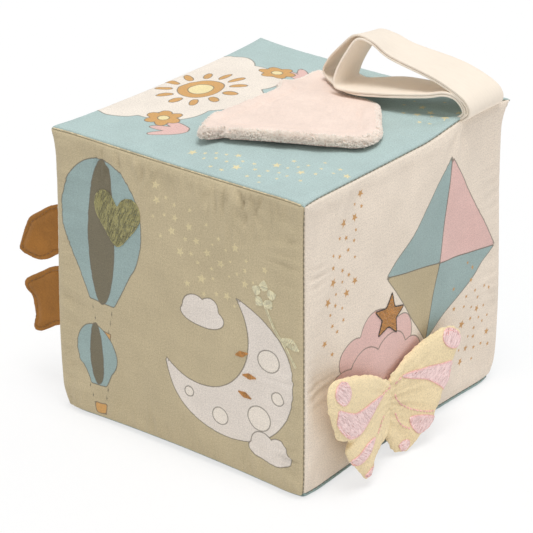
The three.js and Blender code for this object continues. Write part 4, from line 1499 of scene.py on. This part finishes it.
def outline_of(places, middle, bins):
    """The farthest of some flat places in each direction from a middle: a rough outline in order."""
    away = places - middle
    reach = np.hypot(*away.T)
    way = np.arctan2(away[:, 1], away[:, 0])
    outline = []
    for index in range(bins):
        centre = -math.pi + math.tau * (index + 0.5) / bins
        close = np.abs(np.angle(np.exp(1j * (way - centre)))) < math.pi / bins
        if close.any():
            far = reach[close].max()
            outline.append(middle + far * np.array([math.cos(centre), math.sin(centre)]))
    return np.array(outline)


def tuft_model():
    """One tuft of pile: a slender blunt cone along Z."""
    deselect()
    bpy.ops.mesh.primitive_cone_add(
        vertices=4, radius1=1, radius2=TUFT_TIP_SHARE, depth=1, location=(0, 0, 0.5)
    )
    bpy.ops.object.transform_apply(location=True, rotation=False, scale=False)
    return bpy.context.object


def tufted(name, roots, ways, along, length, radius, finish):
    """A pile of tufts that stand on their roots."""
    dice = np.random.default_rng(SEED)
    along = unit_rows(along)
    side = unit_rows(np.cross(along, dice.normal(0, 1, along.shape)))
    axes = np.stack([
        side * radius[:, None], np.cross(along, side) * radius[:, None], along * length[:, None],
    ], axis=1)
    piece = repeated(name, tuft_model(), roots - ways * radius[:, None], axes)
    return give(piece, finish, None)


def scattered(mesh, count, seed, wanted):
    """Random places on a mesh with their normals, on the faces that wanted keeps."""
    mesh.calc_loop_triangles()
    corners = np.empty(len(mesh.loop_triangles) * 3, dtype=int)
    mesh.loop_triangles.foreach_get("vertices", corners)
    triangles = points_of(mesh)[corners.reshape(-1, 3)]
    first, second = triangles[:, 1] - triangles[:, 0], triangles[:, 2] - triangles[:, 0]
    square = np.cross(first, second)
    area = np.linalg.norm(square, axis=1) / 2
    normals = square / np.maximum(2 * area[:, None], TINY_AREA)
    chance = area * wanted(triangles.mean(axis=1), normals)
    dice = np.random.default_rng(seed)
    chosen = dice.choice(len(triangles), count, p=chance / chance.sum())
    a, b = dice.random(count), dice.random(count)
    over = a + b > 1
    a[over], b[over] = 1 - a[over], 1 - b[over]
    places = triangles[chosen, 0] + a[:, None] * first[chosen] + b[:, None] * second[chosen]
    return places, normals[chosen]


# Corners of the flap's outline: shares of its length, away from the eave, and of its half width
FLAP_OUTLINE_SHARES = [
    (0.03, -0.86), (0.10, -0.93), (0.18, -0.90), (0.26, -0.84), (0.38, -0.76), (0.57, -0.64), (0.76, -0.51),
    (0.91, -0.35), (0.98, -0.24), (1.0, -0.09), (0.98, 0.06), (0.89, 0.25), (0.81, 0.43), (0.73, 0.58),
    (0.66, 0.63), (0.57, 0.66), (0.47, 0.66), (0.35, 0.75), (0.22, 0.90), (0.14, 1.06), (0.05, 1.08),
    (0.02, 0.97), (0.02, 0.77), (-0.03, 0.61), (-0.01, 0.48), (0.05, 0.34), (0.05, 0.18), (0.03, 0.02),
    (0.02, -0.15), (0.01, -0.33), (0.0, -0.50), (-0.02, -0.60),
]
# From this share of the way to the edge on, the cloth follows the outline
OUTLINE_START_SHARE = 0.3


def reach_towards(outline, middle, turn):
    """How far an outline lies from its middle in each direction."""
    away = outline - middle
    turns = np.arctan2(away[:, 1], away[:, 0])
    order = np.argsort(turns)
    return np.interp(turn, turns[order], np.hypot(*away.T)[order], period=math.tau)


def outlined(places, middle):
    """The flap drawn out to its own outline, with its front edge lifted a little."""
    sizes = bpy.context.scene.flap_sizes
    along, across = (np.array(FLAP_OUTLINE_SHARES) * (sizes.length, sizes.half_width)).T
    cosine, sine = math.cos(sizes.turn), math.sin(sizes.turn)
    wanted = closed_curve(np.stack([
        sizes.eave_x + along * cosine - across * sine,
        sizes.centre_y + along * sine + across * cosine,
    ], axis=1), OUTLINE_STEPS)
    present = outline_of(places[:, :2], middle, OUTLINE_STEPS)
    away = places[:, :2] - middle
    turn = np.arctan2(away[:, 1], away[:, 0])
    reach = reach_towards(present, middle, turn)
    near_edge = eased(np.hypot(*away.T) / reach, OUTLINE_START_SHARE, 1)
    factor = 1 + (reach_towards(wanted, middle, turn) / reach - 1) * near_edge
    done = places.copy()
    done[:, :2] = middle + away * factor[:, None]
    done[:, 2] += sizes.front_lift * eased(-np.sin(turn), 0, 1) * near_edge
    return done


def under_plush(sizes, places, level, middle):
    """Where the lining's points lie, for the plush's points and the level that they had before the lift."""
    lowest = top_height(places[:, 0], places[:, 1]) + 2 * sizes.lining_gap + sizes.lining
    part = np.clip((level - lowest) / (LINING_TAKE_SHARE * sizes.lining), 0, 1)
    away = places[:, :2] - middle
    inner = 1 - sizes.lining_inset / np.maximum(np.hypot(*away.T), sizes.lining_inset)
    under = places.copy()
    under[:, :2] = middle + away * inner[:, None]
    rise = places[:, 2] - level
    under[:, 2] = top_height(under[:, 0], under[:, 1]) + sizes.lining_gap + part * sizes.lining + rise
    return under


def plush_relief(sizes, places, outline):
    """How far the plush stands out: the swell at its edge, its sewn line and its nap."""
    distance = -polygon(places[:, :2], *outline)
    line = np.exp(-(((distance - sizes.stitch_inset) / (SEWN_LINE_SHARE * sizes.voxel)) ** 2))
    from_swell = distance - sizes.stitch_inset * SWELL_PLACE_SHARE
    swell = np.exp(-((from_swell / (sizes.stitch_inset * SWELL_WIDTH_SHARE)) ** 2))
    nap = waves(places[:, 0], places[:, 1], sizes.nap_pitch, SEED)
    return sizes.swell * swell - sizes.stitch_dip * line + sizes.nap * nap


def rim_pile(sizes, plush, outline, lowest, finish):
    """Long pile round the flap's edge, over the given height."""

    def round_edge(middles, normals):
        near = -polygon(middles[:, :2], *outline) < sizes.rim_width
        return (normals[:, 2] > UNDERSIDE_SHARE) * near * (middles[:, 2] > lowest)

    dice = np.random.default_rng(SEED)
    roots, ways = scattered(plush.data, sizes.rim_tufts, SEED + 1, round_edge)
    length = sizes.rim_pile * dice.uniform(*TUFT_LENGTH_SHARES, len(roots))
    length *= np.clip(ways[:, 0] / 2 - ways[:, 1] + BACK_PILE_SHARE, BACK_PILE_SHARE, 1)
    along = ways + np.array(NAP_WAY_SHARES) + dice.normal(0, TUFT_SPREAD_SHARE, ways.shape)
    along[:, 2] = np.maximum(along[:, 2], TUFT_FALL_SHARE)
    radius = sizes.tuft * dice.uniform(*TUFT_RADIUS_SHARES, len(roots))
    return tufted("flap_rim_pile", roots, ways, along, length, radius, finish)


class FABRIC_OT_flap(Operator):
    """Makes the plush flap, its pile and its lining"""

    bl_idname = "fabric_block.flap"
    bl_label = "Flap"

    def execute(self, context):
        sizes, colours = context.scene.flap_sizes, context.scene.block_colours
        plush = copy_of("flap_plush_cloth", "flap_plush", "flap_sewn_plush")
        remesh(plush, sizes.voxel, smoothing=4)
        level = points_of(plush.data)
        middle = middle_of(level)[:2]
        places = outlined(level, middle)
        set_points(plush.data, places)
        outline = outline_of(places[:, :2], middle, OUTLINE_STEPS)
        top = top_height(places[:, 0], places[:, 1])

        lining = place_new("flap_lining_cloth", plush.data.copy())
        lining.data.name = lining.name
        set_points(lining.data, under_plush(sizes, places, level[:, 2], middle))
        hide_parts("flap_lining", "flap_sewn_lining")
        give(lining, plain_cotton("pink_lining", colours.lining), None)

        normals = normals_of(plush.data)
        upward = np.clip(normals[:, 2], 0, 1) * (places[:, 1] < sizes.hinge_y)
        relief = plush_relief(sizes, places, outline)
        set_points(plush.data, places + normals * (relief * upward)[:, None])
        give(plush, pile("pink_plush", colours.plush, dark_share=0.95, sheen=0.08), None)
        rim_finish = pile("pink_pile", colours.pile, dark_share=0.97, sheen=0.0)
        rim = rim_pile(sizes, plush, outline, top.min() + sizes.lining, rim_finish)

        for piece in (plush, lining, rim):
            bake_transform(piece)
        return {"FINISHED"}


# Tape loop. A station is a place on the near edge with the way its far edge leans and tilts: shares of
# the loop's reach, rise, drift, tilt and lean, and how much the outer layer is pushed to its foot
LOOP_SHARES = [
    (0, 0, 0, 0, 0, 0),
    (0.065, 0.21, 0.08, 0.3, 0.3, 0),
    (0.15, 0.29, 0.21, 0.6, 0.75, 0),
    (0.29, 0.235, 0.36, 0.65, 0.95, 0),
    (0.57, 0.19, 0.68, 0.2, 1, 0),
    (0.85, 0.175, 0.94, 0.5, 0.85, 0.1),
    (0.975, 0.225, 1, 0.7, 0.8, 0.9),
    (0.985, 0.45, 0.92, 0.85, 0.75, 0.75),
    (0.93, 0.755, 0.77, 1, 0.8, 0.38),
    (0.86, 0.97, 0.64, 1, 0.85, 0.12),
    (0.74, 0.925, 0.55, 0.85, 0.8, 0),
    (0.595, 0.74, 0.465, 0.5, 0.7, 0),
    (0.3, 0.53, 0.26, 0.13, 0.5, 0),
    (0.145, 0.385, 0.15, 0, 0.3, 0),
    (0.005, 0.2, 0.06, 0, 0.05, 0),
    (0, 0, 0, 0, 0, 0),
]
TAPE_COLUMNS = 12
TAPE_STEPS = 200
TAPE_CURL_SHARE = 0.25
TAPE_EDGE_SHARE = 1 / 3
SHARP_EDGE_TURN = math.radians(40)
# Straight out of the seam that holds the tape
SEAM_WAY = np.array([1.0, 0.0, 1.0]) / math.sqrt(2)


def tape_root():
    """Where the loop leaves its seam: the place of its joint."""
    joint = next(each for each in frame["joints"] if each["name"] == "tape_swing")
    return np.array(joint["pos_m"], dtype=float)


def tape_edges(outer):
    """The near and the far edge of a tape layer, with its ends buried in the seam."""
    tape = bpy.context.scene.tape_sizes
    root = tape_root()
    reach, rise, drift, tilt, lean, foot = np.array(LOOP_SHARES, dtype=float).T
    push = foot if outer else 0 * foot
    apart = np.zeros(len(LOOP_SHARES))
    apart[-1] = tape.thickness + tape.layer_gap
    apart[0] = -apart[-1]
    near = np.stack([
        root[0] - reach * tape.reach - push * tape.foot_reach + apart,
        tape.seam_near - drift * tape.drift + push * tape.foot_back,
        root[2] + rise * tape.rise - push * tape.foot_drop,
    ], axis=1)
    drop, back = tilt * tape.tilt, lean * tape.lean
    across = np.sqrt(tape.width**2 - drop**2 - back**2)
    far = near + np.stack([-back, across, -drop], axis=1)
    buried = SEAM_WAY * tape.buried
    return [
        smooth_path(np.concatenate([edge[:1] - buried, edge, edge[-1:] - buried]), TAPE_STEPS)
        for edge in (near, far)
    ]


def tape_layer(name, outer):
    """One layer of the tape, with its length: a grid that is laid along its two edges."""
    tape = bpy.context.scene.tape_sizes
    near, far = tape_edges(outer)
    middle_line = (near + far) / 2
    across = far - near
    out = unit_rows(np.cross(across, np.gradient(middle_line, axis=0)))
    run = np.concatenate([[0], np.cumsum(np.linalg.norm(np.diff(middle_line, axis=0), axis=1))])
    piece = new_grid(name, TAPE_STEPS, TAPE_COLUMNS)
    flat = points_of(piece.data)
    step = np.rint((flat[:, 0] + 1) / 2 * TAPE_STEPS).astype(int)
    side = (flat[:, 1] + 1) / 2
    offset = (-1 if outer else 1) * (tape.thickness + tape.layer_gap) / 2
    curl = tape.thickness * TAPE_CURL_SHARE * (1 - (2 * side - 1) ** 2)
    set_points(piece.data, near[step] + across[step] * side[:, None] + out[step] * (offset + curl)[:, None])
    cloth = np.stack([run[step], side * tape.width], axis=1)
    lay_map(piece.data, "Cloth", cloth[corner_points(piece.data)])
    modify(piece, "Cloth thickness", "SOLIDIFY", thickness=tape.thickness, offset=0)
    edge = tape.thickness * TAPE_EDGE_SHARE
    modify(piece, "Soft edges", "BEVEL", width=edge, segments=2, limit_method="ANGLE")
    bpy.ops.object.shade_smooth_by_angle(angle=SHARP_EDGE_TURN)
    return piece, float(run[-1])


class FABRIC_OT_tape(Operator):
    """Makes the two layers of the tape loop"""

    bl_idname = "fabric_block.tape"
    bl_label = "Tape loop"

    def execute(self, context):
        tape, colours = context.scene.tape_sizes, context.scene.block_colours
        finish = tape_cotton("cream_tape", colours.tape)
        for name, outer, nodes in [
            ("tape_outer_cloth", True, ["tape_outer_layer"]),
            ("tape_inner_cloth", False, ["tape_inner_layer", "tape_ends"]),
        ]:
            piece, run = tape_layer(name, outer)
            give(piece, finish, None)
            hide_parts(*nodes)
            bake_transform(piece)
        return {"FINISHED"}


# Butterfly. Shapes of its embroidery are shares of a wing's span and of its height

WING_FILL_SHARES = {
    "left": {
        "spot": [(0.92, 0.895), (0.885, 0.95), (0.805, 0.965), (0.725, 0.925), (0.69, 0.85), (0.725, 0.79),
                 (0.805, 0.775), (0.885, 0.83)],
        "crescent": [(0.14, 0.59), (0.32, 0.62), (0.48, 0.62), (0.64, 0.635), (0.80, 0.71), (0.885, 0.755),
                     (0.90, 0.70), (0.90, 0.635), (0.84, 0.54), (0.74, 0.46), (0.61, 0.44), (0.48, 0.47),
                     (0.38, 0.51), (0.27, 0.545)],
        "band": [(0.35, 0.31), (0.49, 0.31), (0.62, 0.28), (0.73, 0.26), (0.725, 0.21), (0.65, 0.195),
                 (0.52, 0.21), (0.42, 0.24)],
        "tip": [(0.38, 0.06), (0.47, 0.09), (0.55, 0.06), (0.50, 0.03)],
    },
    "right": {
        "spot": [(0.90, 0.73), (0.865, 0.80), (0.775, 0.85), (0.68, 0.85), (0.64, 0.80), (0.68, 0.735),
                 (0.775, 0.685), (0.865, 0.68)],
        "wedge": [(0.08, 0.64), (0.225, 0.64), (0.385, 0.63), (0.575, 0.60), (0.75, 0.57), (0.735, 0.505),
                  (0.70, 0.43), (0.645, 0.345), (0.575, 0.395), (0.48, 0.465), (0.37, 0.53), (0.24, 0.575),
                  (0.13, 0.61)],
        "fan": [(0.15, 0.22), (0.18, 0.245), (0.32, 0.22), (0.46, 0.16), (0.455, 0.125), (0.355, 0.085),
                (0.24, 0.08), (0.18, 0.135)],
        "tip": [(0.0, 0.03), (0.06, 0.055), (0.13, 0.04), (0.12, -0.01), (0.05, -0.03)],
    },
}
WING_VEIN_SHARES = {
    "left": [[(0.0, 0.64), (0.14, 0.59)], [(0.12, 0.40), (0.20, 0.33), (0.29, 0.31)]],
    "right": [
        [(-0.02, 0.60), (0.03, 0.62), (0.08, 0.64)],
        [(-0.02, 0.50), (0.035, 0.41), (0.16, 0.32), (0.32, 0.255), (0.45, 0.22)],
        [(-0.02, 0.33), (0.035, 0.215), (0.15, 0.14)],
    ],
}
FILL_TURN_SHARES = {"spot": 0.25, "crescent": 0.30, "band": 0.20, "tip": 0.0, "wedge": 0.18, "fan": 0.30}
# The wing's upper part, from this share of its height on, is drawn in and down
WING_DRAW_START_SHARE = 0.5
BORDER_ROWS = 2
# Angle from one gather to the next, seen from the wing's root
GATHER_TURN = 0.26
# A vein's stitches and gaps, as shares of a filled shape's stitch
VEIN_STITCH_SHARE = 1 / 3
VEIN_GAP_SHARE = 1 / 4
PUFF_STEPS = 20
PUFF_CLOTH = {
    "quality": 6,
    "mass": 0.2,
    "tension_stiffness": 15,
    "compression_stiffness": 15,
    "bending_stiffness": 0.05,
    "use_pressure": True,
    "uniform_pressure_force": 4,
}
# Folds of the gathered middle: how many go round it, how far they wind up it and how high they are
MIDDLE_FOLDS = [(9, 6, 0.5), (14, -3, 0.3)]
# The middle's waist: how far it is drawn in, where over the middle's own half height and how gently
WAIST_DRAW_SHARE = 0.35
WAIST_PLACE_SHARE = 0.25
WAIST_SPREAD_SHARE = 0.02


def puff(pad, held, cap):
    """Blows a pad up as its filling would, with its held points kept, and caps each point's way."""
    scene = bpy.context.scene
    rest = points_of(pad.data)
    group = pad.vertex_groups.new(name="Held")
    group.add([int(index) for index in np.flatnonzero(held)], 1.0, "REPLACE")
    cloth = pad.modifiers.new("Filling", "CLOTH")
    for key, value in PUFF_CLOTH.items():
        setattr(cloth.settings, key, value)
    cloth.settings.vertex_group_mass = group.name
    cloth.settings.effector_weights.gravity = 0
    cloth.point_cache.frame_end = PUFF_STEPS
    for step in range(1, PUFF_STEPS + 1):
        scene.frame_set(step)
    done = points_of(pad.evaluated_get(bpy.context.evaluated_depsgraph_get()).data)
    pad.modifiers.remove(cloth)
    pad.vertex_groups.remove(group)
    scene.frame_set(1)
    way = done - rest
    length = np.linalg.norm(way, axis=1, keepdims=True)
    set_points(pad.data, rest + way * np.minimum(1, cap / np.maximum(length, TINY)))


class Wing:
    """One wing of the butterfly. way is -1 for the left wing and 1 for the right one."""

    def __init__(self, side, way, span):
        self.sizes = sizes = bpy.context.scene.butterfly_sizes
        self.side, self.way, self.span = side, way, span
        self.root_y = sizes.centre_y + way * (sizes.body_width / 2 + sizes.root_gap)
        self.fills = {name: self.in_metres(shares) for name, shares in WING_FILL_SHARES[side].items()}
        self.veins = [self.in_metres(shares) for shares in WING_VEIN_SHARES[side]]
        self.pad = copy_of(f"{side}_wing_pad", f"{side}_wing_front", f"{side}_wing_back")
        remesh(self.pad, sizes.voxel, smoothing=3)

    def in_metres(self, shares):
        out, up = np.array(shares, dtype=float).T
        height = self.sizes.wing_low + up * self.sizes.wing_height
        return np.stack([self.root_y + self.way * out * self.span, height], axis=1)

    def draw_in(self):
        """Draws the wing's upper part in and down."""
        sizes = self.sizes
        places = points_of(self.pad.data)
        out = np.clip(self.way * (places[:, 1] - self.root_y) / self.span, 0, 1)
        draw = eased((places[:, 2] - sizes.wing_low) / sizes.wing_height, WING_DRAW_START_SHARE, 1)
        places[:, 1] -= self.way * sizes.draw_in * out * draw
        places[:, 2] -= sizes.draw_down * draw * (1 + np.sin(math.pi * out))
        set_points(self.pad.data, places)

    def stuff(self):
        """Fills the wing, which is held at its root and along its embroidery."""
        voxel = self.sizes.voxel
        flat = points_of(self.pad.data)[:, 1:]
        held = np.abs(flat[:, 0] - self.root_y) < 2 * voxel
        for corners in self.fills.values():
            held |= np.abs(polygon(flat, *corners)) < voxel
        for path in self.veins:
            held |= band(flat, voxel, *path) < 0
        puff(self.pad, held, self.sizes.cap)

    def gather(self):
        """Lays gathers along the wing's root and edge, and closes its root over the gathered middle.

        Returns the two ends of the part of the root that closes over the middle."""
        sizes, way = self.sizes, self.way
        places, normals = points_of(self.pad.data), normals_of(self.pad.data)
        flat = places[:, 1:]
        out = np.maximum(0, way * (flat[:, 0] - self.root_y))
        fan = np.arctan2(flat[:, 1] - sizes.wing_low - sizes.wing_height / 2, out + sizes.gather_reach / 2)
        ridge = waves(fan, 0, GATHER_TURN, SEED) * np.exp(-out / sizes.gather_reach)
        middle = middle_of(flat)
        edge = np.abs(polygon(flat, *outline_of(flat, middle, bins=120)))
        around = np.arctan2(flat[:, 1] - middle[1], flat[:, 0] - middle[0])
        ruffle = waves(around, 0, GATHER_TURN / 2, SEED + 1) * np.exp(-edge / sizes.edge_reach)
        places += normals * (sizes.gather * ridge + sizes.edge_pucker * ruffle)[:, None]
        close = np.clip(1 - out / sizes.closing, 0, 1) ** 2
        reach = sizes.body_width / 2 + sizes.root_gap + way * sizes.aside
        if way < 0:
            places[:, 1] -= way * (reach + sizes.overlap) * close
            places[:, 0] += (sizes.closing_lift + sizes.overlap) * close
        else:
            places[:, 1] -= way * reach * close
            places[:, 0] += sizes.overlap / 2 * close
        set_points(self.pad.data, places)
        modify(self.pad, "Finer cloth", "SUBSURF", levels=1, render_levels=1)
        root = np.array([places[:, 0].mean(), self.root_y, sizes.wing_low])
        return tuple(root), tuple(root + np.array([0, way * sizes.closing, 0]))

    def paint_backing_and_gap_shade(self):
        """Marks the cloth under the embroidery, on the wing's front, for the rose backing whose darker
        colour is painted shade in the gaps between the stitches.
        """
        mesh, soft = self.pad.data, self.sizes.wing_thread
        flat = points_of(mesh)[:, 1:]
        inside = np.minimum.reduce([polygon(flat, *corners) for corners in self.fills.values()])
        paint(mesh, "embroidered", eased(-inside, -soft, soft) * (normals_of(mesh)[:, 0] > 0))

    def embroider(self, fill_finish, border_finish):
        """Sews the filled shapes, the borders round them and the veins."""
        sizes = self.sizes
        fills, borders = [], []
        for name, corners in self.fills.items():
            curve = closed_curve(corners, steps=60)
            turn = self.way * FILL_TURN_SHARES[name] * math.pi
            fills.append(satin_rows(curve, turn, sizes.wing_pitch, sizes.stitch, SEED, sizes.stray))
            inwards = unit_rows(curve.mean(axis=0) - curve)
            for row in range(BORDER_ROWS):
                ring = curve + inwards * row * 2 * sizes.border_thread
                borders.append(round_stitches(ring, sizes.stitch / 2))
        stitch, gap = sizes.stitch * VEIN_STITCH_SHARE, sizes.stitch * VEIN_GAP_SHARE
        for path in self.veins:
            borders.append(running_stitches(smooth_path(path, steps=30), stitch, gap))
        ground = Ground(self.pad, (0, 1, 0), (0, 0, 1))
        return [
            ground.sew(f"{self.side}_wing_{kind}", *joined(groups), radius, finish, None, "yellow_cotton")
            for kind, groups, radius, finish in [
                ("embroidery", fills, sizes.wing_thread, fill_finish),
                ("borders", borders, sizes.border_thread, border_finish),
            ]
        ]


class FABRIC_OT_butterfly(Operator):
    """Makes the padded wings, the gathered middle and the embroidery of the butterfly"""

    bl_idname = "fabric_block.butterfly"
    bl_label = "Butterfly"

    def execute(self, context):
        sizes, colours = context.scene.butterfly_sizes, context.scene.block_colours
        cotton = plain_cotton("yellow_cotton", colours.yellow, colours.rose_backing_and_gap_shade)
        pink = thread("pink_thread", colours.pink_thread, contrast=0.12)
        rose = thread("rose_thread", colours.rose_thread, contrast=0.12)
        for side, way, span in [("left", -1, sizes.left_span), ("right", 1, sizes.right_span)]:
            wing = Wing(side, way, span)
            if side == "right":
                wing.draw_in()
            wing.stuff()
            start, end = wing.gather()
            wing.paint_backing_and_gap_shade()
            give(wing.pad, cotton, None)
            for piece in [wing.pad] + wing.embroider(pink, rose):
                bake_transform(piece)
        self.make_middle(sizes, cotton)
        return {"FINISHED"}

    def make_middle(self, sizes, cotton):
        middle = copy_of("butterfly_middle", "butterfly_body")
        remesh(middle, sizes.voxel / 2, smoothing=1)
        places = points_of(middle.data)
        low, high = (np.array(corner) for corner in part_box("butterfly_body"))
        centre = (low + high) / 2
        away = places - centre
        around = np.arctan2(away[:, 1], away[:, 0])
        height = away[:, 2] / (high - low)[2]
        folds = sum(tall * np.sin(count * around + wind * height) for count, wind, tall in MIDDLE_FOLDS)
        waist = 1 - WAIST_DRAW_SHARE * np.exp(-((height - WAIST_PLACE_SHARE) ** 2) / WAIST_SPREAD_SHARE)
        places[:, :2] = centre[:2] + away[:, :2] * waist[:, None]
        places[:, 1] -= sizes.aside
        set_points(middle.data, places)
        set_points(middle.data, places + normals_of(middle.data) * (sizes.gather / 2 * folds)[:, None])
        give(middle, cotton, "block")


# Velvet leaves

# Darkness of the velvet between its lit tips, and of its thread
VELVET_DARK_SHARE = 0.8


class FABRIC_OT_leaves(Operator):
    """Makes the two velvet leaves with their sewn lines"""

    bl_idname = "fabric_block.leaves"
    bl_label = "Velvet leaves"

    def execute(self, context):
        written = context.scene.block_colours.velvet
        velvet = pile("mustard_velvet", written, VELVET_DARK_SHARE, sheen=0.25)
        line = thread("velvet_thread", [VELVET_DARK_SHARE * value for value in written])
        for body in ("upper_leaf", "lower_leaf"):
            self.make_leaf(context.scene.leaf_sizes, body, velvet, line)
        return {"FINISHED"}

    def make_leaf(self, sizes, body, velvet, line):
        leaf = copy_of(f"{body}_pad", f"{body}_front", f"{body}_back")
        remesh(leaf, sizes.voxel, smoothing=3)
        places, normals = points_of(leaf.data), normals_of(leaf.data)
        flat = places[:, [0, 2]]
        middle = middle_of(flat)
        outline = outline_of(flat, middle, bins=90)
        past_line = -polygon(flat, *outline) - sizes.stitch_inset
        dip = np.exp(-((past_line / sizes.voxel) ** 2))
        inside = np.clip(past_line / sizes.stitch_inset, 0, 1)
        lift = (sizes.swell * inside - sizes.stitch_dip * dip) * np.abs(normals[:, 1])
        set_points(leaf.data, places + normals * lift[:, None])
        give(leaf, velvet, body)
        inset = outline + unit_rows(middle - outline) * sizes.stitch_inset
        starts, ends = round_stitches(inset, sizes.stitch, sizes.stitch_gap)
        for side, way in [("front", 1), ("back", -1)]:
            flip = np.array([way, 1])
            Ground(leaf, (way, 0, 0), (0, 0, 1)).sew(
                f"{body}_{side}_line", starts * flip, ends * flip, sizes.thread, line, body, "mustard_velvet"
            )


class FABRIC_OT_rattle(Operator):
    """Gives the foam, the rattle and its beads their finishes"""

    bl_idname = "fabric_block.rattle"
    bl_label = "Foam and rattle"

    def execute(self, context):
        colours = context.scene.block_colours
        # By the start of a node's name, the longer one first
        finishes = {
            "foam": foam_finish("foam", colours.foam),
            "rattle_bead": plastic("rattle_bead", colours.bead),
            "rattle": plastic("rattle_shell", colours.shell),
        }
        for name, node in frame["nodes"].items():
            fitting = [finish for start, finish in finishes.items() if name.startswith(start)]
            if fitting:
                node.data.materials.clear()
                node.data.materials.append(fitting[0])
        return {"FINISHED"}


# Stage

SHADOW_SHARE = 0.3
FLOOR_COLOUR = (0.97, 0.97, 0.97)
WHITE = (1, 1, 1, 1)
# Where the key light stands: a little to the right of the block's top
KEY_WAY = (0.18, -0.12, 1.0)


def stage_finish(name, written, white_share):
    """A pale surface that the camera sees nearly white, with the object's shadow kept."""
    finish = Finish(name, roughness=1, specular=0)
    finish.shader.inputs["Base Color"].default_value = linear(written)
    glow = finish.put("ShaderNodeEmission", {"Strength": 1})
    white = finish.times(finish.seen_directly(), white_share)
    finish.end_mixed(white, finish.shader, glow, "Material Output")
    return finish.material


def soft_world(strength):
    """Soft light all round, which is white where the camera sees it."""
    world = bpy.data.worlds.new("soft_studio")
    world.use_nodes = True
    sky = Nodes(world.node_tree)
    light = sky.tree.nodes["Background"]
    light.inputs["Color"].default_value = WHITE
    light.inputs["Strength"].default_value = strength
    seen = sky.put("ShaderNodeBackground", {"Color": WHITE, "Strength": 1})
    sky.end_mixed(sky.seen_directly(), light, seen, "World Output")
    return world


def key_light(stage, middle):
    """A soft sun over the block."""
    data = bpy.data.lights.new("key_light", "SUN")
    data.angle = stage.key_softness
    data.energy = stage.key_strength
    key = place_new("key_light", data)
    key.location = middle + Vector(KEY_WAY)
    key.rotation_euler = Vector(KEY_WAY).to_track_quat("Z", "Y").to_euler()


def stage_camera(stage, middle):
    """The camera from which the object was photographed."""
    outward = Vector((
        math.sin(stage.turn) * math.cos(stage.lift),
        -math.cos(stage.turn) * math.cos(stage.lift),
        math.sin(stage.lift),
    ))
    right = Vector((math.cos(stage.turn), math.sin(stage.turn), 0))
    up = outward.cross(right)
    place = middle + right * stage.aside + up * stage.above + outward * stage.distance
    data = bpy.data.cameras.new("camera")
    data.lens = stage.lens
    data.sensor_width = stage.sensor
    camera = place_new("camera", data)
    turned = Matrix((right, up, outward)).transposed().to_4x4()
    camera.matrix_world = Matrix.Translation(place) @ turned @ Matrix.Rotation(stage.roll, 4, "Z")
    return camera


class FABRIC_OT_stage(Operator):
    """Sets the floor, the soft light and the camera"""

    bl_idname = "fabric_block.stage"
    bl_label = "Stage"

    def execute(self, context):
        scene = context.scene
        stage = scene.stage_sizes
        middle = Vector((0, 0, scene.block_sizes.height / 2))
        deselect()
        bpy.ops.mesh.primitive_plane_add(size=stage.floor)
        floor = context.object
        floor.name = "floor"
        floor.data.materials.append(stage_finish("floor", FLOOR_COLOUR, 1 - SHADOW_SHARE))
        scene.world = soft_world(stage.sky)
        key_light(stage, middle)
        scene.camera = stage_camera(stage, middle)
        scene.view_settings.view_transform = "Standard"
        return {"FINISHED"}


OPERATORS = [
    FABRIC_OT_cover,
    FABRIC_OT_seams,
    FABRIC_OT_embroidery,
    FABRIC_OT_flap,
    FABRIC_OT_tape,
    FABRIC_OT_butterfly,
    FABRIC_OT_leaves,
    FABRIC_OT_rattle,
    FABRIC_OT_stage,
]


class FABRIC_PT_pieces(Panel):
    """Lists the block's pieces in the sidebar"""

    bl_idname = "FABRIC_PT_pieces"
    bl_label = "Fabric block"
    bl_space_type = "VIEW_3D"
    bl_region_type = "UI"
    bl_category = "Fabric block"

    def draw(self, context):
        for operator in OPERATORS:
            self.layout.operator(operator.bl_idname)
        for name, group in GROUPS.items():
            box = self.layout.box()
            box.label(text=name.replace("_", " ").capitalize())
            for key in group.__annotations__:
                box.prop(getattr(context.scene, name), key)


def register():
    for group in GROUPS.values():
        bpy.utils.register_class(group)
    for name, group in GROUPS.items():
        setattr(bpy.types.Scene, name, PointerProperty(type=group))
    for operator in OPERATORS:
        bpy.utils.register_class(operator)
    bpy.utils.register_class(FABRIC_PT_pieces)


def unregister():
    bpy.utils.unregister_class(FABRIC_PT_pieces)
    for operator in reversed(OPERATORS):
        bpy.utils.unregister_class(operator)
    for name in GROUPS:
        delattr(bpy.types.Scene, name)
    for group in reversed(list(GROUPS.values())):
        bpy.utils.unregister_class(group)


def main():
    register()
    for operator in OPERATORS:
        group, name = operator.bl_idname.split(".")
        getattr(getattr(bpy.ops, group), name)()


if __name__ == "__main__":
    main()
